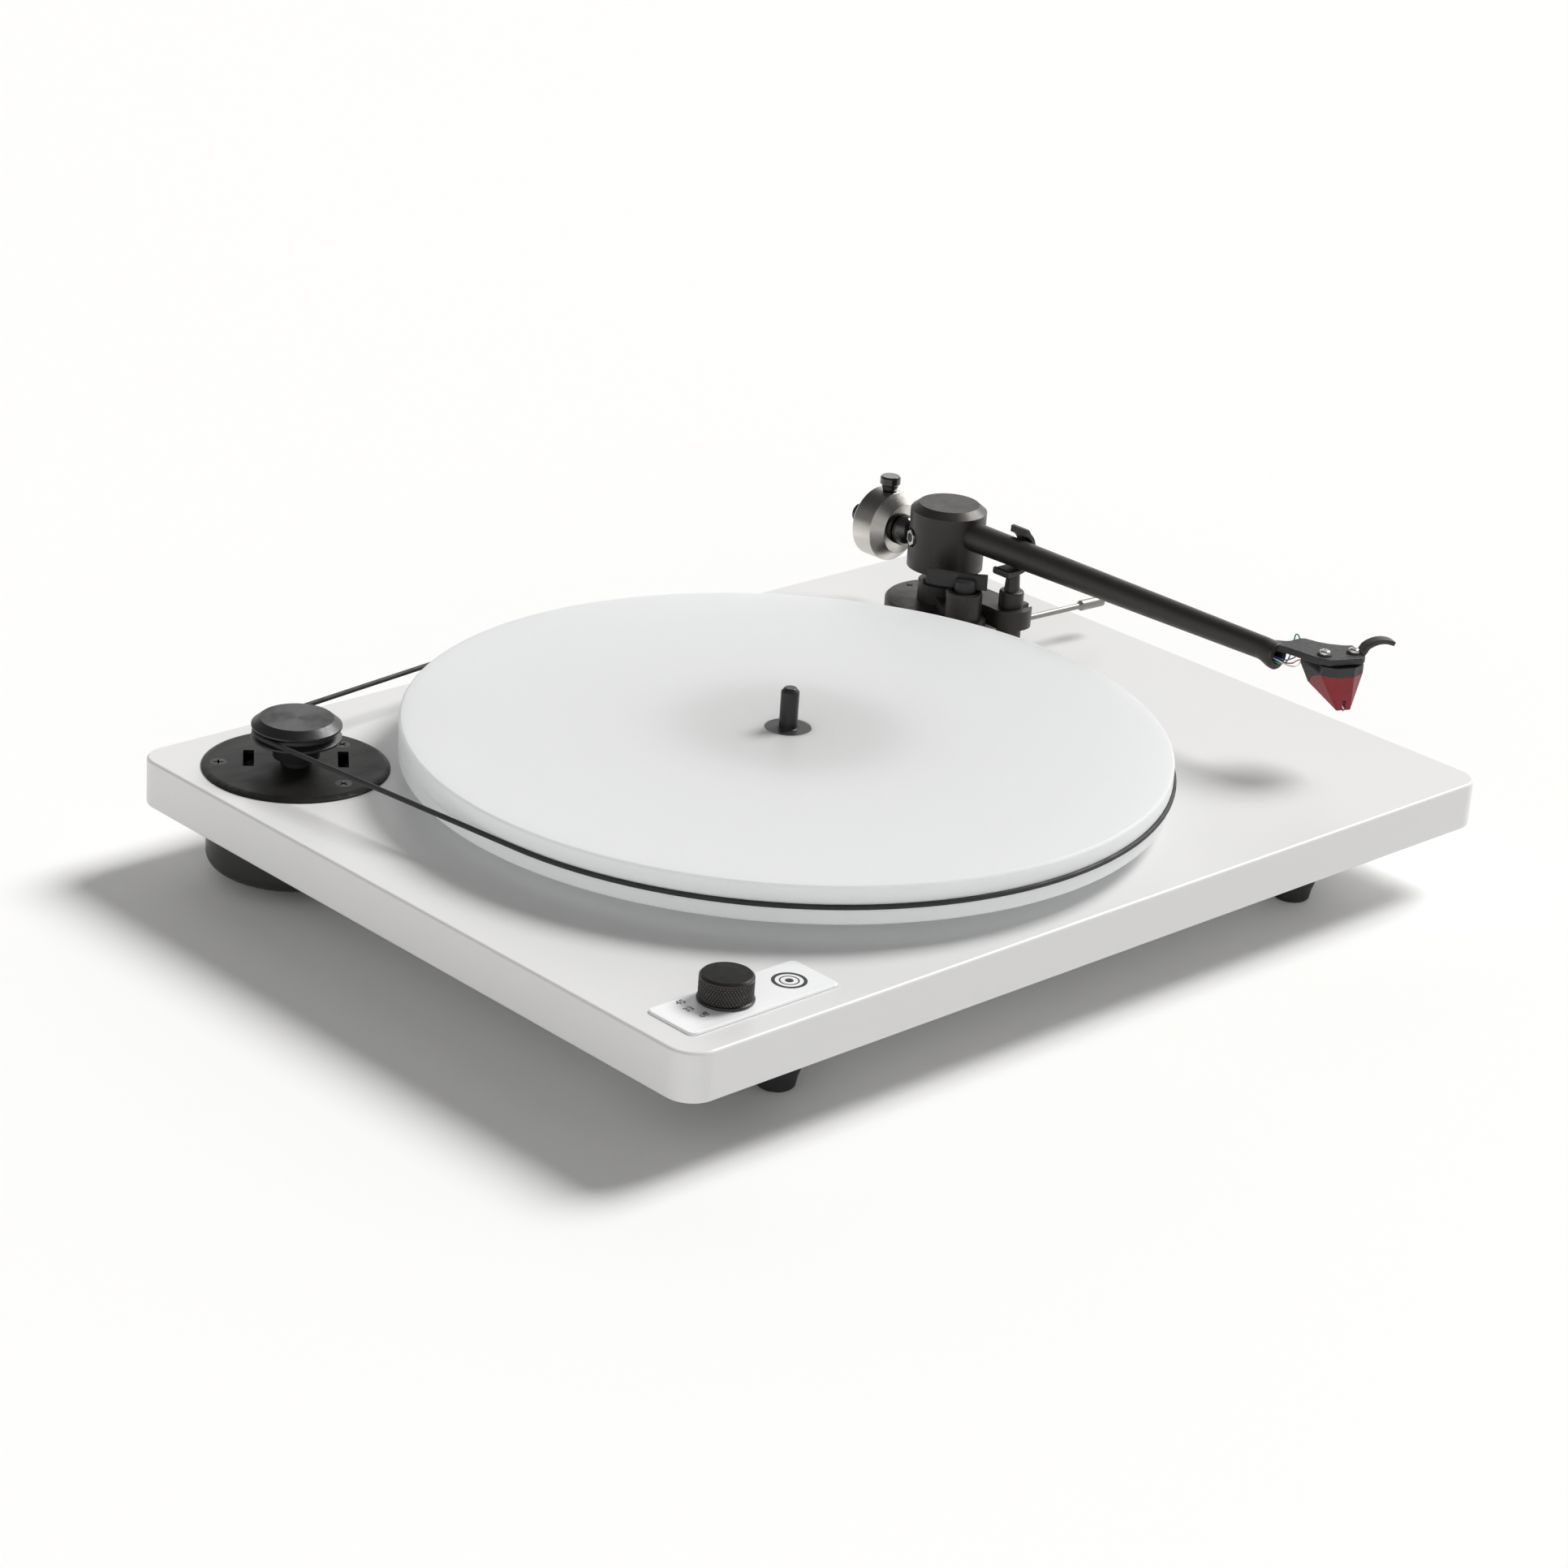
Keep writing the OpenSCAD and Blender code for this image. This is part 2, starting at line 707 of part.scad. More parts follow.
// Thin lever with a thicker handle beyond a conical shoulder
module cue_lever() {
    grip_r = 2.2;
    grip_from = 32;
    grip_to = 44;
    shoulder = 1.6;
    at(pivot) at(lever_at, lever_z) color(steel) difference() {
        union() {
            rotate([90, 0, 0]) rod(1.75, -1.3, 1.3);
            rotate([0, 90, -4]) {
                rod(lever_r, 1.2, grip_from);
                translate([0, 0, grip_from - shoulder]) cylinder(r1 = lever_r, r2 = grip_r, h = shoulder);
                rod(grip_r, grip_from - eps, grip_to);
            }
        }
        rotate([90, 0, 0]) rod(lever_pin_r + run_gap, -2, 2);
    }
}

// ---------- tonearm ----------

// Arm coordinates: +X along the tube towards the headshell, +Y away from the platter
module in_arm(z = 0) at(pivot, z) rotate([0, 0, arm_turn]) children();

// Cartridge coordinates: origin between the screws, +X forwards, +Y to the finger lift
module in_shell(z = 0) in_arm() translate([shell_reach, shell_shift, z])
    rotate([0, 0, -offset_angle]) children();

module along_tilt() at(pivot, tilt_z) rotate([0, 0, arm_turn + 90 - offset_angle]) children();

module arm_yoke() {
    at(pivot) color(steel) difference() {
        union() {
            rod(yoke_r, 73.5, 90);
            rod(swing_shaft_r, top_z - 9.6, 74);
        }
        at([0, 0], tilt_z) rotate([0, 0, arm_turn + 90 - offset_angle])
            for (side = [0, 180]) rotate([0, 0, side]) rotate([0, 90, 0]) rod(1.2 + run_gap, 6.5, 10);
    }
}

module tube_blank(a0, a1) {
    in_arm(arm_z) translate([a0, 0, 0]) rotate([0, 90, 0])
        cylinder(r1 = tube_r - tube_taper * a0, r2 = tube_r - tube_taper * a1, h = a1 - a0);
}

module pivot_housing() {
    color(soft_black) difference() {
        at(pivot) rotate_extrude() polygon([[0, house_z], [house_r, house_z], [house_r, house_shoulder],
            [house_top_r, house_top], [0, house_top]]);
        at(pivot) rod(house_r - house_wall, house_z - 1, house_shoulder - 0.5);
        tube_blank(tube_root, 30);
        in_arm(stub_z) rotate([0, -90, 0]) rod(3, 10, 20);
        along_tilt() for (side = [0, 180]) rotate([0, 0, side]) rotate([0, 90, 0]) {
            rod(2, 8, 20);
            rod(4.1, 14.9, 20);
        }
    }
}

module tilt_screws() {
    along_tilt() color(steel) for (side = [0, 180]) rotate([0, 0, side]) rotate([0, 90, 0]) {
        rod(2, 9.3, 16.2);
        rod(1.2, 7, 9.3 + eps);
    }
}

module tilt_nuts() {
    along_tilt() color(steel) for (side = [0, 180]) rotate([0, 0, side]) rotate([0, 90, 0])
        difference() {
            translate([0, 0, 14.9]) cylinder(r = 3.6, h = 1.8, $fn = 6);
            rod(2, 14, 18);
        }
}

module arm_tube() {
    color(soft_black) difference() {
        tube_blank(tube_root, tube_end);
        in_arm(arm_z) rotate([0, 90, 0]) rod(tube_bore, tube_root - 1, tube_end + 1);
    }
}

// Outline of the headshell plate in arm coordinates
shell_outline = [[174, -2.6], [183, 0.5], [197, 1.3], [201.9, 3.4], [208.2, 16.6], [207, 19.3],
    [196.3, 24.4], [194.3, 21.8], [189.8, 17.9], [185.5, 15.9], [180.5, 14.9], [179, 13.2],
    [178.5, 6.6], [174, 2.6]];

// Finger lift's centre line in cartridge coordinates: [sideways, height over the plate's top]
lift_bow = 10.7;
lift_mid = [17.9, -7.3];
finger_line = concat([[7, -1.1], [9.5, -0.6]],
    [for (a = [126 : -12 : 54]) lift_mid + lift_bow * [cos(a), sin(a)]]);

module ribbon(line, t) {
    last = len(line) - 1;
    sides = [for (i = [0 : last])
        let (step = line[min(i + 1, last)] - line[max(i - 1, 0)])
        [-step[1], step[0]] / norm(step) * t / 2];
    polygon(concat([for (i = [0 : last]) line[i] + sides[i]],
        [for (i = [last : -1 : 0]) line[i] - sides[i]]));
}

module headshell() {
    ring_drop = 1.2;
    ring_r = 5.4;
    color(soft_black) difference() {
        union() {
            in_arm(shell_under) linear_extrude(shell_t) offset(r = 0.8, $fn = 16) offset(delta = -0.8)
                polygon(shell_outline);
            hull() {
                in_arm(arm_z) translate([tube_end, 0, 0]) rotate([0, 90, 0])
                    cylinder(r = tube_r - tube_taper * tube_end, h = 0.5, $fn = 32);
                in_arm(arm_z - ring_drop) translate([176.5, 0, 0]) rotate([0, 90, 0])
                    cylinder(r = ring_r, h = 2.8, $fn = 32);
            }
            in_shell(plate_top) translate([-0.2, 0, 0]) rotate([90, 0, -90]) linear_extrude(4.4)
                mirror([1, 0]) ribbon(finger_line, 1.8);
        }
        in_arm(arm_z - 0.9) rotate([0, 90, 0]) rod(2.9, tube_end - 1, 185);
        for (side = [-1, 1]) in_shell() translate([0, side * cartridge_pitch / 2, 0]) {
            rod(1.35, shell_under - 2, plate_top + 2);
            rod(washer_r + 0.3, plate_top, plate_top + 3);
        }
    }
}

cart_half = 9;
cart_top = shell_under;
band_low = 83.6;
pin_root = -13;                            // cartridge's contact pins
pin_end = -17.5;
pin_r = 0.6;
pin_spots = [[-3, 81], [3, 81], [-3, 84.5], [3, 84.5]];

// Side view of the wedge under the cartridge's band
wedge = [[-14, band_low + 1], [-13.6, 81.5], [-10.5, 78.3], [-3.4, 80.8], [3.2, band_low],
    [3.2, band_low + 1]];

module cartridge_body() {
    pad = 0.6;
    in_shell() color(black) difference() {
        union() {
            translate([0, 0, band_low]) linear_extrude(cart_top - pad - band_low)
                polygon([[-14, -cart_half], [4.3, -cart_half], [8, -3.5], [8, 3.5],
                    [4.3, cart_half], [-14, cart_half]]);
            translate([0, cart_half, 0]) rotate([90, 0, 0]) linear_extrude(2 * cart_half) polygon(wedge);
            for (side = [-1, 1]) translate([0, side * cartridge_pitch / 2, 0])
                rod(2.8, cart_top - pad - 1, cart_top);
            for (p = pin_spots) translate([0, p[0], p[1]]) rotate([0, -90, 0])
                rod(pin_r, -pin_root, -pin_end);
        }
        for (side = [-1, 1]) translate([0, side * cartridge_pitch / 2, 0])
            rod(1.25, cart_top - 4.1, cart_top + 1);
    }
}

// Replaceable stylus unit, with its cantilever and tip
module stylus_unit() {
    low = 70.4;
    tip_z = 69.8;
    in_shell() color(red) {
        difference() {
            hull() {
                translate([0, 0, band_low - 0.5]) linear_extrude(0.5)
                    polygon([[3.2, -8.9], [4.3, -8.9], [8, -3.5], [8, 3.5], [4.3, 8.9], [3.2, 8.9]]);
                translate([0, 8.9, 0]) rotate([90, 0, 0]) linear_extrude(17.8)
                    polygon([[3.2, band_low - 0.1], [-3.4, 80.7], [-5.8, 77.6], [-5, 77.2]]);
                translate([0, 3, 0]) rotate([90, 0, 0]) linear_extrude(6)
                    polygon([[6, low + 0.6], [8.8, low], [9, low + 1]]);
            }
            translate([5.6, -0.8, low - 1]) rotate([0, -25, 0]) cube([6, 1.6, 3]);
            // room for the cartridge body's wedge
            translate([0, cart_half + 1, 0]) rotate([90, 0, 0]) linear_extrude(2 * cart_half + 2)
                polygon(wedge);
        }
        wire([[5.4, 0, low + 1.3], [8.9, 0, tip_z + 0.5]], 0.28);
        translate([8.8, 0, tip_z]) cylinder(r1 = 0.06, r2 = 0.22, h = 0.6, $fn = 16);
    }
}

washer_t = 0.5;
washer_r = 2.9;
cart_screw_r = 1.25;

module beside_screws() for (side = [-1, 1]) in_shell(plate_top)
    translate([0, side * cartridge_pitch / 2, 0]) children();

module cartridge_washers() {
    color(black) beside_screws() difference() {
        rod(washer_r, 0, washer_t);
        rod(cart_screw_r + 0.1, -1, washer_t + 1);
    }
}

module cartridge_screws() {
    head_t = 1.5;
    color(steel) beside_screws() difference() {
        union() {
            rod(2.2, washer_t, washer_t + head_t);
            rod(cart_screw_r, -shell_t - 3.8, washer_t + eps);
        }
        translate([0, 0, washer_t + head_t]) cross_recess(1.3, 0.9);
    }
}

// A point given in cartridge coordinates, in arm coordinates
function in_arm_at(x, y, z) = [shell_reach + x * cos(offset_angle) + y * sin(offset_angle),
    shell_shift - x * sin(offset_angle) + y * cos(offset_angle), z - arm_z];

// Four leads: inside the tube, out of its mouth, round behind the cartridge and on to its pins
module signal_wires() {
    mouth = 180.5;
    lead_r = 0.4;
    color(green) in_arm(arm_z) for (i = [0 : 3]) {
        z = -2.7 + 0.95 * i;
        wire([[20, 0, z], [mouth, 0, z], in_arm_at(pin_end - 4, pin_spots[i][0], pin_spots[i][1]),
            in_arm_at(pin_end - lead_r, pin_spots[i][0], pin_spots[i][1])], lead_r);
    }
}

module weight_stub() {
    in_arm(stub_z) color(soft_black) rotate([0, -90, 0]) {
        rod(3, house_r - house_wall - 1, 20);
        rotate_extrude() intersection() {
            translate([0, 19]) square([6.6, 6.5]);
            translate([0, 25]) circle(r = 6.6);
        }
        rod(stub_r, 25.4, 52);
    }
}

module counterweight() {
    in_arm(stub_z) color(steel) difference() {
        rotate([0, -90, 0]) rotate_extrude() polygon([[0, -weight_front],
            [weight_r - weight_chamfer, -weight_front], [weight_r, -weight_front + weight_chamfer],
            [weight_r, -weight_back - 1.2], [weight_r - 1.2, -weight_back], [0, -weight_back]]);
        rotate([0, -90, 0]) rod(stub_r + run_gap, 20, 60);
        translate([screw_at, 0, 0]) rod(1.5 + run_gap, 0, 20);
    }
}

module weight_thumbscrew() {
    in_arm(stub_z) translate([screw_at, 0, 0]) color(black) {
        rod(1.5, stub_r + 0.4, 15.5);
        translate([0, 0, 15.4]) cylinder(r1 = 2.3, r2 = 3, h = 2.2);
        translate([0, 0, 17.5]) soft_disc(4.4, 3.9, 0.4);
    }
}

// ---------- sockets and wiring ----------

module terminal_box() {
    w = box_x[1] - box_x[0];
    d = box_y[1] - box_y[0];
    h = box_z[1] - box_z[0];
    color(black) difference() {
        union() {
            translate([box_x[0], box_y[0], box_z[0]]) cube([w, d, h]);
            for (x = box_ears) at([x, 130]) rod(4, foot_h - 3, foot_h);
            translate([box_x[0] - 4, 126, foot_h - 3]) cube([w + 8, 8, 3]);
        }
        translate([box_x[0] + box_wall, box_y[0] + box_wall, box_z[0] + box_wall])
            cube([w - 2 * box_wall, d - 2 * box_wall, h]);
        for (x = box_ears) at([x, 130]) rod(1.3, 0, foot_h + 1);
        for (x = concat(socket_x, [ground_x])) translate([x, box_y[1] + 1, socket_z])
            rotate([90, 0, 0]) rod(x == ground_x ? 2 : 3, 0, 6);
        translate([power_x, box_y[1] + 1, socket_z]) rotate([90, 0, 0]) rod(5, 0, 6);
    }
}

module terminal_box_screws() {
    color(steel) for (x = box_ears) at([x, 130], foot_h - 3) seated_screw(2.4, 1.4, 1.3, 11);
}

// Pair of phono sockets facing the rear
module phono_sockets() {
    color(brass) for (x = socket_x) translate([x, box_y[1], socket_z]) rotate([-90, 0, 0]) difference() {
        union() {
            rod(3, -box_wall - 5, eps);
            rod(5.5, 0, 1.5);
            rod(4.15, 1.4, 9.2);
        }
        rod(1.6, -1, 10);
    }
}

module power_socket() {
    translate([power_x, box_y[1], socket_z]) color(black) rotate([-90, 0, 0]) difference() {
        union() {
            rod(5, -box_wall - 9, eps);
            rod(6, 0, 1.5);
        }
        rod(2.75, -9, 2);
    }
    translate([power_x, box_y[1], socket_z]) color(steel) rotate([-90, 0, 0]) rod(1, -9 - eps, 0.5);
}

module ground_post() {
    translate([ground_x, box_y[1], socket_z]) color(brass) rotate([-90, 0, 0]) {
        rod(2, -box_wall - 4, 7.5);
        translate([0, 0, 1]) difference() {
            cylinder(r = 3.6, h = 5);
            rod(2, -1, 7);
        }
    }
}

// Leads in the plinth's channels: switch to motor, motor to power socket, arm to phono sockets
module plinth_wiring() {
    z = plinth_z + 3.6;
    lead_r = 1.2;
    color(black) {
        wire([[-183, pocket_y[1] - 1.2, z], [-183, 95, z]], lead_r);
        wire([[-150, 136, z], [96.5, 136, z], [96.5, 135.5, socket_z + 5], [101, 133, socket_z + 1]], lead_r);
        wire([[pivot[0], pivot[1] + 7.5, z], [pivot[0], 116.5, z], [pivot[0], 116.8, socket_z + 2],
            [socket_x[0], 139.5, socket_z]], lead_r);
    }
}

plinth();
foot_front_left();
foot_front_right();
foot_rear();
foot_screws();
control_panel();
speed_knob();
switch_shaft();
rotary_switch();
control_board();
electronics_cover();
cover_screws();
motor_plate();
motor_plate_screws();
motor_body();
motor_can();
motor_can_screw();
motor_shaft();
pulley();
pulley_grub_screw();
drive_belt();
platter();
platter_hub();
spindle();
spindle_collar();
bearing_bush();
bearing_ball();
bearing_screws();
arm_base();
arm_base_screws();
pivot_pillar();
pivot_bearings();
rest_bracket();
bracket_grub_screw();
rest_post();
rest_clip();
lift_cylinder();
lift_platform();
lever_pin();
cue_lever();
arm_yoke();
pivot_housing();
tilt_screws();
tilt_nuts();
arm_tube();
headshell();
cartridge_body();
stylus_unit();
cartridge_washers();
cartridge_screws();
signal_wires();
weight_stub();
counterweight();
weight_thumbscrew();
terminal_box();
terminal_box_screws();
phono_sockets();
power_socket();
ground_post();
plinth_wiring();
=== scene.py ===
import json
import math

import bmesh
import bpy
from mathutils import Matrix, Vector


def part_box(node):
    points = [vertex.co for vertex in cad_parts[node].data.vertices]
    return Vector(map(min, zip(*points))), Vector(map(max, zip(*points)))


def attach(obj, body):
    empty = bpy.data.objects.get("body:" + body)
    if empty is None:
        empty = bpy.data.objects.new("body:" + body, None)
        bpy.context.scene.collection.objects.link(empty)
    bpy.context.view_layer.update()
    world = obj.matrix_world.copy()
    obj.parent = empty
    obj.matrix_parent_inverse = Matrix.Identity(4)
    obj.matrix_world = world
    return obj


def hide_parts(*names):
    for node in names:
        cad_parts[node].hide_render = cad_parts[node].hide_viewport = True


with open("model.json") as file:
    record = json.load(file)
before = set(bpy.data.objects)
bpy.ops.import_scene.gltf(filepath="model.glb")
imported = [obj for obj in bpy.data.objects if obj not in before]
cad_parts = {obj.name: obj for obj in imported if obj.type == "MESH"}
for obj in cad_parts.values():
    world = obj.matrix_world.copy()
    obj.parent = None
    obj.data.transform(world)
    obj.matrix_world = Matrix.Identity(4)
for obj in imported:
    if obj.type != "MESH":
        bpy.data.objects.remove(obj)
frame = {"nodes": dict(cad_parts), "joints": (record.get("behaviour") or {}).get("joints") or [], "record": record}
nodes = frame["nodes"]
joints = {j["name"]: j for j in frame["joints"]}
MM = 0.001


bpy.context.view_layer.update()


# ---------------------------------------------------------------- measurements from the frame

def centre(node):
    low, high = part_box(node)
    return Vector([(low[i] + high[i]) / 2 for i in range(3)])


def top(node):
    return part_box(node)[1][2]


def bottom(node):
    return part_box(node)[0][2]


PLATTER = centre("platter")
MOTOR = centre("pulley")
KNOB = centre("speed_knob")
PIVOT = Vector(joints["arm_swing"]["pos_m"])
UP = Vector((0, 0, 1))
ARM = -Vector(joints["weight_slide"]["axis"]).normalized()      # along the tube, to the headshell
OUT = UP.cross(ARM)                                             # away from the platter
ARM_Z = 0.087                                                   # height of the tube's axis
OFFSET = math.radians(25)                                       # turn of the cartridge from the tube
SHELL_AT = (199.3, 12.4)                                        # middle of its screws, in mm from the pivot


def axes(x, y, z, origin):
    """A matrix whose columns are these axes at that origin."""
    m = Matrix.Identity(4)
    for i, v in enumerate((x, y, z)):
        for k in range(3):
            m[k][i] = v[k]
    m.translation = origin
    return m


def upright(point, z):
    return Matrix.Translation((point[0], point[1], z))


ARM_FRAME = axes(ARM, OUT, UP, Vector((PIVOT.x, PIVOT.y, ARM_Z)))
SHELL_PLACE = Matrix.Translation((SHELL_AT[0] * MM, SHELL_AT[1] * MM, 0))
SHELL_FRAME = ARM_FRAME @ SHELL_PLACE @ Matrix.Rotation(-OFFSET, 4, "Z")


# ---------------------------------------------------------------- node helpers

class Shader:
    """A material's node tree with short helpers; coordinates are object space, in metres."""

    def __init__(self, name, color, rough, metal=0.0, **sockets):
        self.mat = bpy.data.materials.new(name)
        self.mat.use_nodes = True
        self.tree = self.mat.node_tree
        self.tree.nodes.clear()
        self.out = self.tree.nodes.new("ShaderNodeOutputMaterial")
        self.bsdf = self.tree.nodes.new("ShaderNodeBsdfPrincipled")
        self.tree.links.new(self.bsdf.outputs[0], self.out.inputs[0])
        self.color = (*color, 1)
        self.bsdf.inputs["Base Color"].default_value = self.color
        self.bsdf.inputs["Roughness"].default_value = rough
        self.bsdf.inputs["Metallic"].default_value = metal
        for key, value in sockets.items():
            self.bsdf.inputs[key.replace("_", " ")].default_value = value
        self.coords = self.tree.nodes.new("ShaderNodeTexCoord").outputs["Object"]
        self.normal = None
        self.mat.diffuse_color = self.color

    def node(self, kind, **values):
        n = self.tree.nodes.new(kind)
        for key, value in values.items():
            if hasattr(n, key):
                setattr(n, key, value)
            else:
                n.inputs[key.replace("_", " ")].default_value = value
        return n

    def link(self, a, b):
        self.tree.links.new(a, b)

    def scaled(self, scale):
        m = self.node("ShaderNodeMapping")
        m.inputs["Scale"].default_value = scale
        self.link(self.coords, m.inputs["Vector"])
        return m.outputs[0]

    def noise(self, scale, detail=3.0, stretch=(1, 1, 1), rough=0.5):
        n = self.node("ShaderNodeTexNoise", Scale=scale, Detail=detail, Roughness=rough)
        self.link(self.scaled(stretch), n.inputs["Vector"])
        return n.outputs["Fac"]

    def spread(self, value, low, high, start=0.3, end=0.7):
        n = self.node("ShaderNodeMapRange")
        n.inputs["From Min"].default_value = start
        n.inputs["From Max"].default_value = end
        n.inputs["To Min"].default_value = low
        n.inputs["To Max"].default_value = high
        self.link(value, n.inputs["Value"])
        return n.outputs[0]

    def math(self, operation, a, b):
        n = self.node("ShaderNodeMath", operation=operation)
        for i, value in enumerate((a, b)):
            if isinstance(value, (int, float)):
                n.inputs[i].default_value = value
            else:
                self.link(value, n.inputs[i])
        return n.outputs[0]

    def tint(self, value, low, high):
        """Colours the surface between low and high times its colour."""
        n = self.node("ShaderNodeMix", data_type="RGBA")
        sockets = {s.identifier: s for s in n.inputs}
        sockets["A_Color"].default_value = (*[c * low for c in self.color[:3]], 1)
        sockets["B_Color"].default_value = (*[min(c * high, 1) for c in self.color[:3]], 1)
        self.link(value, sockets["Factor_Float"])
        self.link({s.identifier: s for s in n.outputs}["Result_Color"], self.bsdf.inputs["Base Color"])
        return self

    def vary_rough(self, value, low, high):
        self.link(self.spread(value, low, high), self.bsdf.inputs["Roughness"])
        return self

    def bump(self, value, distance, strength=1.0):
        n = self.node("ShaderNodeBump")
        n.inputs["Distance"].default_value = distance
        n.inputs["Strength"].default_value = strength
        self.link(value, n.inputs["Height"])
        if self.normal:
            self.link(self.normal, n.inputs["Normal"])
        self.normal = n.outputs[0]
        self.link(self.normal, self.bsdf.inputs["Normal"])
        return self

    def radial(self):
        """Lines of a lathe cut: brushed round the object's own Z axis."""
        n = self.node("ShaderNodeTangent", direction_type="RADIAL", axis="Z")
        self.link(n.outputs[0], self.bsdf.inputs["Tangent"])
        return self


# ---------------------------------------------------------------- materials

def lacquered_board():
    s = Shader("white_lacquer", (0.74, 0.738, 0.735), 0.38, Coat_Weight=0.12, Coat_Roughness=0.25)
    s.tint(s.noise(9, 3), 0.985, 1.01)
    s.vary_rough(s.noise(40, 4), 0.33, 0.42)
    s.bump(s.noise(1400, 2), 0.00002, 0.5)
    return s.mat


def frosted_acrylic():
    """Milky acrylic that light soaks through, so that the hub under it shows faintly; a soft grey disc of painted
    shade over the middle adds to it.
    """
    s = Shader("frosted_acrylic", (0.975, 0.985, 0.995), 0.42, Subsurface_Weight=0.6,
               Subsurface_Scale=0.012, Subsurface_Radius=(1, 1, 1), IOR=1.49)
    away = s.node("ShaderNodeVectorMath", operation="DISTANCE")
    s.link(s.coords, away.inputs[0])
    away.inputs[1].default_value = (PLATTER.x, PLATTER.y, top("platter"))
    # painted shade: colour darker within about 22 to 52 mm of the middle, standing for the hub seen through the
    # platter
    s.tint(s.spread(away.outputs["Value"], 0, 1, 0.022, 0.052), 0.96, 1.0)
    s.vary_rough(s.noise(60, 4), 0.38, 0.5)
    s.bump(s.noise(3200, 2), 0.00002, 0.5)
    through = s.node("ShaderNodeBsdfTranslucent", Color=(0.96, 0.975, 0.985, 1))
    both = s.node("ShaderNodeMixShader", Fac=0.36)
    s.link(s.bsdf.outputs[0], both.inputs[1])
    s.link(through.outputs[0], both.inputs[2])
    s.link(both.outputs[0], s.out.inputs[0])
    return s.mat


def knurl_black():
    """Anodised side of the speed knob, with painted highlights: the crests of its knurling are coloured lighter.
    """
    s = Shader("knurl_black", (0.03, 0.027, 0.025), 0.3, 0.6)
    painted_glint_crests = s.node("ShaderNodeNewGeometry").outputs["Pointiness"]
    # painted highlight: the knurl's crests are lighter in colour under any light
    s.tint(s.spread(painted_glint_crests, 0, 1, 0.49, 0.54), 0.6, 2.6)
    s.vary_rough(s.noise(300, 4), 0.24, 0.36)
    s.bump(s.noise(3000, 2), 0.00001, 0.4)
    return s.mat


def knob_black():
    """Matte top of the speed knob."""
    s = Shader("knob_black", (0.01, 0.0095, 0.009), 0.4, Specular_IOR_Level=0.1)
    s.tint(s.noise(90, 4), 0.8, 1.3)
    s.vary_rough(s.noise(300, 4), 0.38, 0.52)
    s.bump(s.noise(3000, 2), 0.00002, 0.4)
    return s.mat


def moulded_black():
    rough = 0.42
    s = Shader("moulded_black", (0.016, 0.015, 0.015), rough, Specular_IOR_Level=0.5)
    s.tint(s.noise(45, 5), 0.8, 1.25)
    s.vary_rough(s.noise(120, 5), rough - 0.05, rough + 0.1)
    s.bump(s.noise(2600.0, 3), 0.00003, 0.5)
    return s.mat


def handled_plastic():
    """Smooth moulding with the wiped smears of handling."""
    s = Shader("handled_plastic", (0.009, 0.0082, 0.0078), 0.4, Specular_IOR_Level=0.16)
    smears = s.noise(26, 6, (1, 2.6, 1), 0.65)
    s.tint(smears, 0.7, 1.6)
    s.vary_rough(smears, 0.3, 0.55)
    s.bump(s.noise(1800, 2), 0.00002, 0.4)
    return s.mat


def blasted_black():
    """Coarse crinkled finish of the headshell."""
    s = Shader("blasted_black", (0.018, 0.017, 0.018), 0.5)
    grain = s.node("ShaderNodeTexVoronoi", Scale=2600.0)
    s.link(s.coords, grain.inputs["Vector"])
    s.tint(s.noise(1500, 2), 0.6, 1.7)
    s.vary_rough(s.noise(900, 2), 0.38, 0.6)
    s.bump(grain.outputs["Distance"], 0.00012, 0.7)
    return s.mat


def anodised_black(turned=False):
    s = Shader("turned_black" if turned else "anodised_black", (0.035, 0.034, 0.035), 0.3, 0.55)
    s.tint(s.noise(90, 4), 0.85, 1.2)
    if turned:
        s.bsdf.inputs["Anisotropic"].default_value = 0.7
        s.radial()
    s.vary_rough(s.noise(300, 4), 0.27, 0.38)
    s.bump(s.noise(3000, 2), 0.00001, 0.4)
    return s.mat


def satin_arm():
    """Even satin black of the one-piece arm casting."""
    s = Shader("satin_arm", (0.0135, 0.012, 0.011), 0.42, Specular_IOR_Level=0.6,
               Specular_Tint=(1, 0.94, 0.9, 1))
    s.tint(s.noise(160, 5), 0.85, 1.2)
    s.vary_rough(s.noise(220, 5), 0.37, 0.48)
    s.bump(s.noise(3600, 3), 0.00004, 0.5)
    return s.mat


def gloss_black():
    s = Shader("gloss_black", (0.012, 0.011, 0.011), 0.1, Coat_Weight=0.6, Coat_Roughness=0.04)
    s.vary_rough(s.noise(200, 4), 0.08, 0.16)
    s.tint(s.noise(50, 3), 0.8, 1.3)
    return s.mat


def turned_steel():
    """Lathe-cut steel, with two light and two dark fans of painted reflection, coloured in by angle round its
    axis.
    """
    s = Shader("turned_steel", (0.72, 0.695, 0.66), 0.2, 1.0, Anisotropic=0.75)
    s.radial()
    split = s.node("ShaderNodeSeparateXYZ")
    s.link(s.coords, split.inputs[0])
    angle = s.math("ARCTAN2", split.outputs["Y"], split.outputs["X"])
    # painted reflection: light and dark fans set in the colour by angle, the same under any lighting
    painted_reflection_fans = s.math("COSINE", s.math("ADD", s.math("MULTIPLY", angle, 2.0), -1.5), 0)
    uneven = s.math("MULTIPLY", s.noise(30, 3), 0.1)
    s.tint(s.math("ADD", s.spread(painted_reflection_fans, 0, 0.9, -0.55, 0.5), uneven), 0.36, 1.05)
    s.vary_rough(s.noise(400, 4, (1, 1, 9)), 0.17, 0.26)
    return s.mat


def bright_steel():
    s = Shader("bright_steel", (0.62, 0.61, 0.59), 0.22, 1.0)
    s.tint(s.noise(200, 4), 0.88, 1.06)
    s.vary_rough(s.noise(500, 4), 0.18, 0.32)
    return s.mat


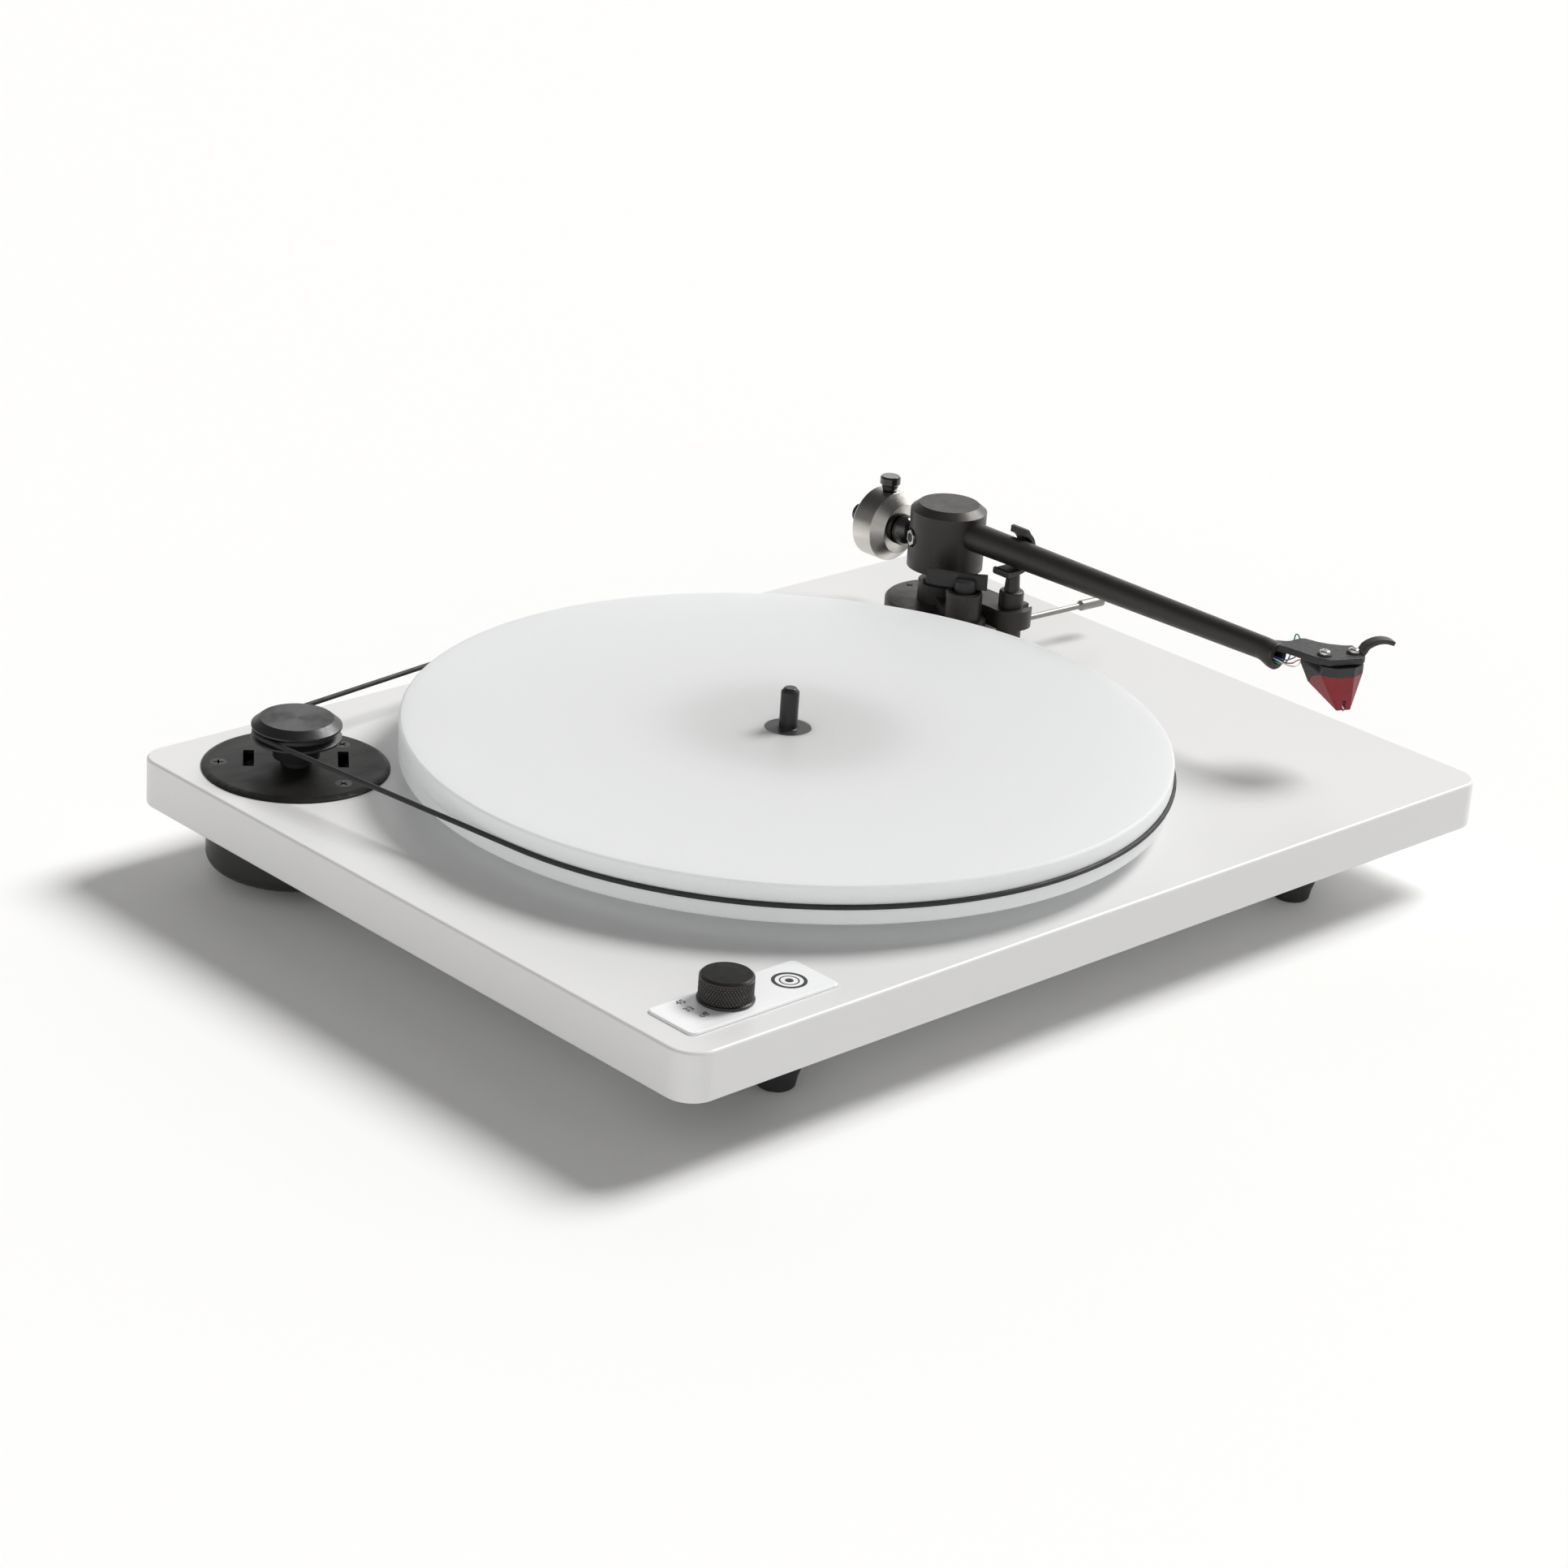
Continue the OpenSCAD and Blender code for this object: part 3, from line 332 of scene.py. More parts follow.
def dull_steel():
    """Ground rod stock, less bright than the screws."""
    s = Shader("dull_steel", (0.34, 0.33, 0.315), 0.46, 0.85)
    s.tint(s.noise(160, 4), 0.85, 1.08)
    s.vary_rough(s.noise(400, 4), 0.42, 0.54)
    s.bump(s.noise(2500, 2), 0.00001, 0.3)
    return s.mat


def black_oxide():
    s = Shader("black_oxide", (0.045, 0.043, 0.042), 0.38, 0.7)
    s.tint(s.noise(300, 4), 0.7, 1.4)
    s.vary_rough(s.noise(500, 4), 0.3, 0.48)
    return s.mat


def brushed_aluminium():
    s = Shader("brushed_aluminium", (0.95, 0.96, 0.97), 0.42, 0.12)
    lines = s.noise(900, 4, (0.02, 1, 1), 0.6)
    s.tint(lines, 0.95, 1.02)
    s.vary_rough(lines, 0.3, 0.44)
    s.bump(lines, 0.00001, 0.25)
    return s.mat


def black_rubber():
    s = Shader("black_rubber", (0.022, 0.022, 0.023), 0.62, Specular_IOR_Level=0.4)
    s.tint(s.noise(70, 5), 0.8, 1.35)
    s.vary_rough(s.noise(150, 5), 0.52, 0.72)
    s.bump(s.noise(2200, 3), 0.00004, 0.5)
    return s.mat


def red_moulding():
    """Clear red plastic, deeper where it is thick."""
    s = Shader("red_moulding", (0.26, 0.005, 0.013), 0.14, Transmission_Weight=0.1, IOR=1.5,
               Specular_IOR_Level=0.35, Coat_Weight=0.15, Coat_Roughness=0.06)
    s.tint(s.noise(160, 3), 0.8, 1.2)
    s.vary_rough(s.noise(300, 3), 0.1, 0.18)
    return s.mat


def brass(name="brass", color=(0.62, 0.44, 0.16)):
    s = Shader(name, color, 0.26, 1.0)
    s.tint(s.noise(200, 4), 0.85, 1.05)
    s.vary_rough(s.noise(400, 4), 0.2, 0.36)
    return s.mat


def circuit_board():
    s = Shader("circuit_board", (0.02, 0.13, 0.055), 0.35)
    tracks = s.node("ShaderNodeTexVoronoi", Scale=420.0, distance="CHEBYCHEV")
    s.link(s.coords, tracks.inputs["Vector"])
    s.tint(tracks.outputs["Distance"], 0.75, 1.8)
    s.vary_rough(s.noise(500, 2), 0.28, 0.42)
    return s.mat


def sheath(name, color):
    s = Shader(name, color, 0.3)
    s.tint(s.noise(400, 3), 0.85, 1.15)
    s.vary_rough(s.noise(600, 3), 0.25, 0.4)
    return s.mat


def ink(name, color):
    s = Shader(name, color, 0.45)
    s.tint(s.noise(900, 4), 0.85, 1.15)
    s.vary_rough(s.noise(900, 4), 0.4, 0.55)
    return s.mat


MATS = {
    "board": lacquered_board(), "acrylic": frosted_acrylic(), "black": moulded_black(),
    "knob": knob_black(), "knurl": knurl_black(),
    "handled": handled_plastic(), "blasted": blasted_black(), "anodised": anodised_black(),
    "turned_black": anodised_black(turned=True), "arm": satin_arm(), "gloss": gloss_black(),
    "turned_steel": turned_steel(), "steel": bright_steel(), "oxide": black_oxide(),
    "dull_steel": dull_steel(),
    "aluminium": brushed_aluminium(), "rubber": black_rubber(), "red": red_moulding(),
    "brass": brass(), "gold": brass("gold_plate", (0.72, 0.5, 0.17)), "pcb": circuit_board(),
    "ink": ink("ink", (0.035, 0.033, 0.034)),
    "green_wire": sheath("green_wire", (0.01, 0.33, 0.24)),
    "red_wire": sheath("red_wire", (0.45, 0.02, 0.03)),
    "white_wire": sheath("white_wire", (0.75, 0.76, 0.78)),
    "blue_wire": sheath("blue_wire", (0.05, 0.12, 0.42)),
}

# Finish of every CAD node, also of those that a finer piece replaces
FINISH = {
    "plinth": "board", "foot_front_left": "rubber", "foot_front_right": "rubber", "foot_rear": "rubber",
    "foot_screws": "steel", "control_panel": "aluminium", "speed_knob": "anodised",
    "switch_shaft": "steel", "rotary_switch": "black", "control_board": "pcb",
    "electronics_cover": "black", "cover_screws": "oxide", "motor_plate": "handled",
    "motor_plate_screws": "oxide", "motor_body": "black", "motor_can": "black",
    "motor_can_screw": "steel", "motor_shaft": "steel", "pulley": "anodised",
    "pulley_grub_screw": "oxide", "drive_belt": "rubber", "platter": "acrylic",
    "platter_hub": "anodised", "spindle": "anodised", "spindle_collar": "black",
    "bearing_bush": "brass", "bearing_ball": "steel", "bearing_screws": "steel",
    "arm_base": "arm", "arm_base_screws": "oxide", "pivot_pillar": "anodised",
    "pivot_bearings": "steel", "rest_bracket": "arm", "bracket_grub_screw": "oxide",
    "rest_post": "arm", "rest_clip": "black", "lift_cylinder": "arm", "lift_platform": "black",
    "lever_pin": "steel", "cue_lever": "dull_steel", "arm_yoke": "steel", "pivot_housing": "arm",
    "tilt_screws": "steel", "tilt_nuts": "steel", "arm_tube": "arm", "headshell": "blasted",
    "cartridge_body": "black", "stylus_unit": "red", "cartridge_washers": "rubber",
    "cartridge_screws": "steel",
    "signal_wires": "green_wire", "weight_stub": "gloss", "counterweight": "turned_steel",
    "weight_thumbscrew": "black", "terminal_box": "black", "terminal_box_screws": "steel",
    "phono_sockets": "gold", "power_socket": "black", "ground_post": "gold",
    "plinth_wiring": "rubber",
}

for node, finish in FINISH.items():
    slots = nodes[node].material_slots
    for s in slots:
        s.material = MATS[finish]
    if not slots:
        nodes[node].data.materials.append(MATS[finish])


# ---------------------------------------------------------------- mesh helpers

def settle_normals(piece):
    """Leaves the large flat faces their own shading, so that only the edges round off."""
    weighted = piece.modifiers.new("weighted", "WEIGHTED_NORMAL")
    weighted.mode = "FACE_AREA"
    weighted.weight = 100
    weighted.keep_sharp = True
    bpy.context.view_layer.update()
    shown = piece.evaluated_get(bpy.context.evaluated_depsgraph_get())
    mesh = bpy.data.meshes.new_from_object(shown)
    piece.modifiers.clear()
    piece.data = mesh


def make(name, verts, faces, finish, body, stands_for=(), place=Matrix.Identity(4), sharp=35):
    """A piece from points in mm, placed in the row frame, that rides on a body."""
    mesh = bpy.data.meshes.new(name)
    mesh.from_pydata([Vector(v) * MM for v in verts], [], faces)
    bm = bmesh.new()
    bm.from_mesh(mesh)
    bmesh.ops.remove_doubles(bm, verts=bm.verts, dist=1e-7)
    bmesh.ops.recalc_face_normals(bm, faces=bm.faces)
    bm.to_mesh(mesh)
    bm.free()
    mesh.shade_smooth()
    mesh.set_sharp_from_angle(angle=math.radians(sharp))
    mesh.materials.append(MATS[finish])
    piece = bpy.data.objects.new(name, mesh)
    bpy.context.collection.objects.link(piece)
    piece.matrix_world = place
    settle_normals(piece)
    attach(piece, body)
    if stands_for:
        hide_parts(*stands_for)
    return piece


def fillet(points, radius, steps=4, closed=False, keep=()):
    """Rounds the corners of an outline in the plane; corners listed in keep stay sharp."""
    count = len(points)
    out = []
    for i, p in enumerate(points):
        here = Vector(p)
        if i in keep or (not closed and i in (0, count - 1)):
            out.append(tuple(here))
            continue
        before = Vector(points[i - 1]) - here
        after = Vector(points[(i + 1) % count]) - here
        r = radius[i] if isinstance(radius, (list, tuple)) else radius
        turn = before.angle(after)
        cut = min(r / math.tan(turn / 2), before.length * 0.45, after.length * 0.45)
        a = here + before.normalized() * cut
        b = here + after.normalized() * cut
        for k in range(steps + 1):
            t = k / steps
            out.append(tuple(a * (1 - t) ** 2 + here * 2 * t * (1 - t) + b * t ** 2))
    return out


def lathe(profile, steps=96, ribs=None):
    """Points and faces of a closed outline of (radius, height) turned about Z."""
    verts = []
    faces = []
    for k in range(steps):
        turn = 2 * math.pi * k / steps
        for r, z in profile:
            grown = r + (ribs(turn, z, r) if ribs else 0)
            verts.append((grown * math.cos(turn), grown * math.sin(turn), z))
    n = len(profile)
    for k in range(steps):
        for i in range(n):
            j = (i + 1) % n
            a, b = k * n + i, k * n + j
            c, d = (k + 1) % steps * n + j, (k + 1) % steps * n + i
            on_axis = profile[i][0] < 1e-6, profile[j][0] < 1e-6
            if on_axis == (True, True):
                continue
            if on_axis[0]:
                faces.append((a, b, c))
            elif on_axis[1]:
                faces.append((a, b, d))
            else:
                faces.append((a, b, c, d))
    return verts, faces


def turned(name, profile, finish, body, stands_for, place, edge=0.2, steps=96, ribs=None, keep=()):
    """A lathe-turned piece whose profile starts and ends on its axis."""
    rounded = fillet(profile, edge, keep=keep)
    verts, faces = lathe(rounded, steps, ribs)
    return make(name, verts, faces, finish, body, stands_for, place)


def loft(rings, cap=True):
    """Points and faces joining rings of equal length."""
    n = len(rings[0])
    verts = [p for ring in rings for p in ring]
    faces = []
    for k in range(len(rings) - 1):
        for i in range(n):
            j = (i + 1) % n
            faces.append((k * n + i, k * n + j, (k + 1) * n + j, (k + 1) * n + i))
    if cap:
        faces.append(tuple(reversed(range(n))))
        faces.append(tuple(range(len(verts) - n, len(verts))))
    return verts, faces


def joined(*parts):
    """Several point and face sets as one."""
    verts = []
    faces = []
    for some_verts, some_faces in parts:
        start = len(verts)
        verts += some_verts
        faces += [tuple(i + start for i in face) for face in some_faces]
    return verts, faces


def inset(outline, by):
    """An outline in the plane drawn in by a distance, corner by corner."""
    count = len(outline)
    out = []
    for i in range(count):
        here = Vector(outline[i])
        before = (here - Vector(outline[i - 1])).normalized()
        after = (Vector(outline[(i + 1) % count]) - here).normalized()
        normal = Vector((-before.y - after.y, before.x + after.x)).normalized()
        scale = 1 / max(normal.dot(Vector((-before.y, before.x))), 0.5)
        out.append(tuple(here + normal * by * scale))
    return out


def slab(outline, low, high, edge):
    """A plate with rounded upper and lower edges; outline runs counter-clockwise."""
    levels = []
    for k in range(4):
        turn = math.pi / 2 * k / 3
        levels.append((edge * (1 - math.sin(turn)), low + edge * (1 - math.cos(turn))))
    levels += [(by, high + low - z) for by, z in reversed(levels)]
    return loft([[(x, y, z) for x, y in inset(outline, by)] for by, z in levels])


def round_rect(w, d, r, steps=8):
    corners = [(w / 2, -d / 2), (w / 2, d / 2), (-w / 2, d / 2), (-w / 2, -d / 2)]
    return fillet(corners, r, steps, closed=True)


def tube_along(points, radius, sides=12):
    """Points and faces of a round wire along a smooth path."""
    path = [Vector(p) for p in points]
    rings = []
    side = Vector((0, 0, 1))
    for i, p in enumerate(path):
        ahead = (path[min(i + 1, len(path) - 1)] - path[max(i - 1, 0)]).normalized()
        side = (side - ahead * side.dot(ahead)).normalized()
        other = ahead.cross(side)
        rings.append([tuple(p + (side * math.cos(t) + other * math.sin(t)) * radius)
                      for t in (2 * math.pi * k / sides for k in range(sides))])
    return loft(rings)


def curve_through(points, per_span=8):
    """A smooth path through a few points."""
    pts = [Vector(p) for p in points]
    pts = [pts[0] * 2 - pts[1], *pts, pts[-1] * 2 - pts[-2]]
    out = []
    for i in range(1, len(pts) - 2):
        a, b, c, d = pts[i - 1:i + 3]
        for k in range(per_span):
            t = k / per_span
            out.append((b * 2 + (c - a) * t + (a * 2 - b * 5 + c * 4 - d) * t * t
                        + (b * 3 - a - c * 3 + d) * t ** 3) / 2)
    return [*out, pts[-2]]


# ---------------------------------------------------------------- rounded edges

BODY_OF = {node: body for body, names in frame["record"]["behaviour"]["bodies"].items() for node in names}

# Width, in mm, of the rounded edge given to each hard-edged casting or moulding
ROUNDED = {
    "motor_plate": 0.25, "motor_can": 0.3, "platter": 0.35, "platter_hub": 0.4, "spindle": 0.25,
    "spindle_collar": 0.3, "arm_base": 0.3, "pivot_pillar": 0.25, "rest_bracket": 0.45, "rest_post": 0.2,
    "lift_cylinder": 0.25, "lift_platform": 0.35, "pivot_housing": 0.3,
    "cartridge_body": 0.22, "stylus_unit": 0.22, "cue_lever": 0.15, "terminal_box": 0.6,
    "electronics_cover": 0.4, "weight_stub": 0.2, "ground_post": 0.25, "phono_sockets": 0.2,
    "power_socket": 0.25, "cartridge_washers": 0.12, "bearing_bush": 0.3,
}


# Corners of the cartridge body's side view that the photograph puts elsewhere: (x, z) in its frame, in mm
STRAIGHTENED = {(-10.5, -8.7): (-5.75, -9.75), (-13.6, -5.5): (-13.9, -4.6)}


def straighten(bm):
    """Gives the cartridge body the straight slanting back that the photograph shows."""
    inward = SHELL_FRAME.inverted()
    for vert in bm.verts:
        x, y, z = inward @ vert.co / MM
        for (from_x, from_z), (to_x, to_z) in STRAIGHTENED.items():
            if math.hypot(x - from_x, z - from_z) < 0.1:
                vert.co = SHELL_FRAME @ (Vector((to_x, y, to_z)) * MM)


def rounded(node, width, sharpest=28):
    """A copy of a CAD part with its sharp edges rounded off."""
    bm = bmesh.new()
    bm.from_mesh(nodes[node].data)
    bmesh.ops.remove_doubles(bm, verts=bm.verts, dist=1e-6)
    if node == "cartridge_body":
        straighten(bm)
    bmesh.ops.dissolve_limit(bm, angle_limit=math.radians(0.8), verts=bm.verts, edges=bm.edges)
    hard = [e for e in bm.edges
            if len(e.link_faces) == 2 and e.calc_face_angle() > math.radians(sharpest)]
    bmesh.ops.bevel(bm, geom=hard, offset=width * MM, segments=2, profile=0.5, affect="EDGES",
                    clamp_overlap=True)
    mesh = bpy.data.meshes.new(node + "_rounded")
    bm.to_mesh(mesh)
    bm.free()
    mesh.materials.clear()
    mesh.materials.append(MATS[FINISH[node]])
    mesh.shade_smooth()
    mesh.set_sharp_from_angle(angle=math.radians(40))
    piece = bpy.data.objects.new(node + "_rounded", mesh)
    bpy.context.collection.objects.link(piece)
    settle_normals(piece)
    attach(piece, BODY_OF[node])
    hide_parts(node)


for node, width in ROUNDED.items():
    rounded(node, width)


# ---------------------------------------------------------------- controls

def control_plate():
    low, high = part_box("control_panel")
    w, d = ((high[i] - low[i]) / MM for i in (0, 1))
    rise = (high[2] - low[2]) / MM
    outline = round_rect(w, d, 3.2)
    rings = [(0, 0.0), (0, rise - 0.7), (0.32, rise - 0.1), (0.42, rise - 0.02), (0.52, rise)]
    verts, faces = loft([[(x, y, z) for x, y in inset(outline, by)] for by, z in rings])
    make("control_plate", verts, faces, "aluminium", "base", ["control_panel"],
         upright(centre("control_panel"), low[2]), sharp=25)


def printed(name, text, x, y):
    """Lettering laid on the control plate, its middle at x, y in the row frame."""
    size, ink_rise, float_up = 3.9, 0.03, 0.025
    data = bpy.data.curves.new(name, "FONT")
    data.body = text
    data.size = size * MM
    data.align_x = "CENTER"
    data.align_y = "CENTER"
    data.extrude = ink_rise * MM
    data.resolution_u = 6
    word = bpy.data.objects.new(name, data)
    bpy.context.collection.objects.link(word)
    word.location = (x, y, top("control_panel") + float_up * MM)
    bpy.context.view_layer.update()
    mesh = bpy.data.meshes.new_from_object(word.evaluated_get(bpy.context.evaluated_depsgraph_get()))
    flat = bpy.data.objects.new(name + "_print", mesh)
    flat.matrix_world = word.matrix_world
    bpy.context.collection.objects.link(flat)
    bpy.data.objects.remove(word)
    mesh.materials.clear()
    mesh.materials.append(MATS["ink"])
    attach(flat, "base")


def ring_mark():
    """Plain record symbol printed beside the knob."""
    ink_rise, beside = 0.06, 21
    parts = []
    for inner, outer in ((5.0, 6.3), (3.1, 3.6), (0.0, 1.5)):
        profile = [(inner, 0.0), (outer, 0.0), (outer, ink_rise), (inner, ink_rise)]
        parts.append(lathe(profile, 72))
    x = centre("control_panel").x + beside * MM
    make("record_symbol", *joined(*parts), "ink", "base",
         place=upright((x, centre("control_panel").y), top("control_panel") - 0.01 * MM))


def speed_knob():
    """Black knob with diamond knurling between a foot flange and a chamfered crown."""
    foot, body, crown = 10.07, 9.45, 8.7
    height = (top("speed_knob") - bottom("speed_knob")) / MM
    low, high = 1.25, height - 1.45
    rows, starts, around = 44, 52, 624
    slant = math.tan(math.radians(58))
    groove, sink = 0.34, 0.16
    profile = [(0, 0), *fillet([(0, 0), (foot, 0), (foot, 0.85), (body, low)], 0.2)[1:-1]]
    profile += [(body, low + (high - low) * k / rows) for k in range(rows + 1)]
    profile += fillet([(body, high), (body + 0.1, high + 0.05), (body + 0.1, height - 0.85),
                       (crown, height), (0, height)], 0.22)[1:]

    def knurl(turn, z, r):
        if not low + 0.01 < z < high - 0.01 or r < body - 0.01:
            return 0
        slide = (z - low) / (body * slant)
        one = abs(math.sin(starts / 2 * (turn + slide)))
        two = abs(math.sin(starts / 2 * (turn - slide)))
        return groove * min(one, two) - sink

    verts, faces = lathe(profile, around, knurl)
    piece = make("knurled_knob", verts, faces, "knurl", "knob", ["speed_knob"],
                 upright(KNOB, bottom("speed_knob")), sharp=50)
    piece.data.materials.append(MATS["knob"])
    for face in piece.data.polygons:
        if face.center.z > (height - 0.3) * MM:
            face.material_index = 1


# ---------------------------------------------------------------- drive

def pulley():
    """Flanged pulley with the belt's groove level with the belt."""
    height = (top("pulley") - bottom("pulley")) / MM
    belt = (centre("drive_belt").z - bottom("pulley")) / MM
    hub, flange, groove, cap = 8.85, 17.1, 14.5, 14
    profile = [(0, 0), (hub, 0), (hub, 4.8), (flange, belt - 2.8), (flange, belt - 2),
               (groove, belt - 0.7), (groove, belt + 0.7), (flange, belt + 2), (flange, belt + 2.7),
               (cap, height), (0, height)]
    turned("turned_pulley", profile, "turned_black", "pulley", ["pulley"],
           upright(MOTOR, bottom("pulley")), 0.18, 128)


# ---------------------------------------------------------------- tonearm

def arc(x, z, radius, start, end, steps=14):
    """Points of an arc about x, z, between two angles in degrees."""
    turns = [math.radians(start + (end - start) * k / steps) for k in range(steps + 1)]
    return [(x + radius * math.cos(t), z + radius * math.sin(t)) for t in turns]


def rest_clip():
    """Moulded clip that holds the tube: a shelf below, a wall behind and a thick-tipped hook above."""
    bore, outer, width = 6.4, 8.4, 9.0
    base = bottom("rest_clip") / MM
    low = base + outer
    high = top("rest_clip") / MM - outer
    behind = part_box("rest_clip")[1][0] - outer * MM
    hook = [(4.0, high + 8.3), (3.2, high + 9.1), (1.7, high + 9.1), (1.5, high + 6.3)]
    lip = [(-5.2, base + 2.0), (-6.0, base + 2.5), (-7.0, base + 2.2), (-7.2, base + 0.4)]
    outline = [(-6.6, base - 0.5), (-2.8, base - 0.2), *arc(0, low, outer, -90, 0),
               *arc(0, high, outer, 0, 52), *hook, *arc(0, high, bore, 70, 0), *arc(0, low, bore, 0, -90),
               *lip]
    origin = Vector((behind, centre("rest_clip").y, 0))
    place = axes(Vector((1, 0, 0)), UP, Vector((0, -1, 0)), origin)
    clip = slab(outline, -width / 2, width / 2, 0.4)
    make("arm_clip", *clip, "black", "base", ["rest_clip"], place)


def counterweight():
    """Steel weight turned on a lathe, on the stub behind the pivot."""
    place = axes(OUT, UP, -ARM, Vector((PIVOT.x, PIVOT.y, centre("weight_stub").z)))
    r, chamfer, bore = 15.06, 4.4, 4.1
    front, back, back_chamfer = 26, 41.7, 1.2
    profile = [(bore, front), (r - chamfer, front), (r, front + chamfer), (r, back - back_chamfer),
               (r - back_chamfer, back), (bore, back)]
    outline = fillet(profile, 0.22, closed=True)
    verts, faces = lathe(outline, 160)
    make("steel_weight", verts, faces, "turned_steel", "weight", ["counterweight"], place)


def thumbscrew():
    """Screw that clamps the weight: shank, flared collar and rounded head."""
    place = upright(centre("weight_thumbscrew"), bottom("weight_thumbscrew"))
    height = (top("weight_thumbscrew") - bottom("weight_thumbscrew")) / MM
    shank, head = 1.5, 4.4
    profile = [(0, 0), (shank, 0), (shank, height - 6.3), (3.0, height - 6.2), (3.6, height - 4.6),
               (3.1, height - 4.3), (head, height - 3.3), (head, height - 0.7), (3.8, height), (0, height)]
    turned("weight_screw", profile, "gloss", "thumbscrew", ["weight_thumbscrew"], place, 0.2, 72)


def prism(sides, radius, low, high, chamfer):
    """A bar with flat sides and chamfered ends along Z."""
    turns = [2 * math.pi * k / sides for k in range(sides)]

    def ring(z, r):
        return [(r * math.cos(t), r * math.sin(t), z) for t in turns]

    return loft([ring(low, radius - chamfer), ring(low + chamfer, radius), ring(high - chamfer, radius),
                 ring(high, radius - chamfer)])


def slotted_end(radius, low, high, half_slot, depth):
    """The turned end of a screw with a straight slot, as two half discs on a core."""
    steps = 20
    start = math.asin(half_slot / radius)
    edge, drawn_in, widened = 0.15, 0.93, 0.03
    halves = []
    for side in (0, math.pi):
        turns = [side + start + (math.pi - 2 * start) * k / steps for k in range(steps + 1)]
        outline = [(radius * math.cos(t), radius * math.sin(t)) for t in turns]
        foot = [(x, y, high - depth) for x, y in outline]
        wall = [(x, y, high - edge) for x, y in outline]
        face = [(x * drawn_in, y * drawn_in + math.copysign(widened, y), high) for x, y in outline]
        halves.append(loft([foot, wall, face]))
    core = lathe([(0, low), (radius, low), (radius, high - depth), (0, high - depth)], 40)
    return joined(core, *halves)


def tilt_bearings():
    """Locking nuts and slotted pivot screws on both sides of the housing."""
    axis = Vector(joints["arm_tilt"]["axis"])
    origin = Vector((PIVOT.x, PIVOT.y, joints["arm_tilt"]["pos_m"][2]))
    nut = prism(6, 3.6, 14.9, 16.7, 0.22)
    screw = slotted_end(1.95, 7, 17.0, 0.28, 0.6)
    for side, name in ((1, "near"), (-1, "far")):
        along = axis * side
        place = axes(UP, along.cross(UP), along, origin)
        make("pivot_nut_" + name, *nut, "steel", "arm", ["tilt_nuts"], place, sharp=25)
        make("pivot_screw_" + name, *screw, "oxide", "arm", ["tilt_screws"], place, sharp=30)


def pan_head(radius, rise, recess):
    """A domed screw head whose top carries a cross recess, from a grid pushed into shape."""
    steps, rings = 64, 26
    half_slot, reach = 0.26, radius * 0.62
    verts = [(0, 0, rise - recess)]
    for k in range(1, rings + 1):
        r = radius * math.sin(math.pi / 2 * k / rings)
        for i in range(steps):
            turn = 2 * math.pi * i / steps
            x, y = r * math.cos(turn), r * math.sin(turn)
            z = rise * math.sqrt(max(1 - (r / radius) ** 4, 0)) ** 0.8
            arm = min(abs(x), abs(y))
            if arm < half_slot and r < reach:
                z -= recess * min((half_slot - arm) / 0.1, 1) * min((reach - r) / 0.12, 1)
            verts.append((x, y, z))
    faces = [(0, 1 + i, 1 + (i + 1) % steps) for i in range(steps)]
    for k in range(rings - 1):
        for i in range(steps):
            a, b = 1 + k * steps + i, 1 + k * steps + (i + 1) % steps
            faces.append((a, a + steps, b + steps, b))
    faces.append(tuple(range(1 + (rings - 1) * steps, 1 + rings * steps)))
    return verts, faces


def cartridge_screws():
    """Domed cross-head screws that hold the cartridge, with their shanks."""
    half_pitch, head_r, head_rise, shank_r = 6.35, 2.3, 1.5, 1.25
    low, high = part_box("cartridge_screws")
    end = (low.z - high.z) / MM + head_rise
    washer_top = (top("cartridge_washers") - ARM_Z) / MM
    head = pan_head(head_r, head_rise, 0.6)
    shank = lathe([(0, end), (shank_r, end), (shank_r, 0.0), (0, 0.0)], 24)
    screw = joined(head, shank)
    for side, name in ((-1, "inner"), (1, "outer")):
        seat = Matrix.Translation((0, side * half_pitch * MM, washer_top * MM))
        place = SHELL_FRAME @ seat @ Matrix.Rotation(0.5 + side, 4, "Z")
        make("cartridge_screw_" + name, *screw, "steel", "arm", ["cartridge_screws"], place, sharp=50)


def in_arm(x, y, z):
    """A point of the cartridge's frame, z above the arm's line, in arm coordinates."""
    flat = Matrix.Rotation(-OFFSET, 4, "Z") @ Vector((x, y, 0))
    return flat + Vector((*SHELL_AT, z))


# Finish of each lead, its way from the tube's mouth to behind the cartridge, and its pin
LEADS = (
    ("green_wire", [(165, -0.9, -2.4), (179.6, -1.0, -3.3), (180.4, 4.5, -3.9), (177.7, 10.6, -1.0),
                    (177.4, 12.1, 4.2), (177.7, 13.1, 4.7), (178.2, 14.4, 2.6)], (-3, -6)),
    ("red_wire", [(165, 0.2, -2.0), (179.8, 0.2, -2.8), (181.6, 6.0, -4.6), (179.8, 13.4, -5.4)], (3, -6)),
    ("white_wire", [(165, -0.3, -1.2), (179.7, -0.6, -2.4), (182.2, 5.0, -5.4), (180.8, 12.0, -6.6)],
     (-3, -2.5)),
    ("blue_wire", [(165, 0.8, -1.2), (179.9, 0.9, -2.1), (180.8, 6.4, -3.2), (179.2, 15.2, -3.4)],
     (3, -2.5)),
)


def cartridge_leads():
    """Four thin wires out of the tube's mouth and on to the pins behind the cartridge."""
    wire_r, pin_x, behind_x = 0.28, -17.6, -20.5
    for finish, way, (across, level) in LEADS:
        behind = in_arm(behind_x, across, level)
        pin = in_arm(pin_x, across, level)
        verts, faces = tube_along(curve_through([*way, behind, pin]), wire_r)
        stands_for = ["signal_wires"] if finish == "green_wire" else ()
        make("lead_" + finish, verts, faces, finish, "arm", stands_for, ARM_FRAME, sharp=80)


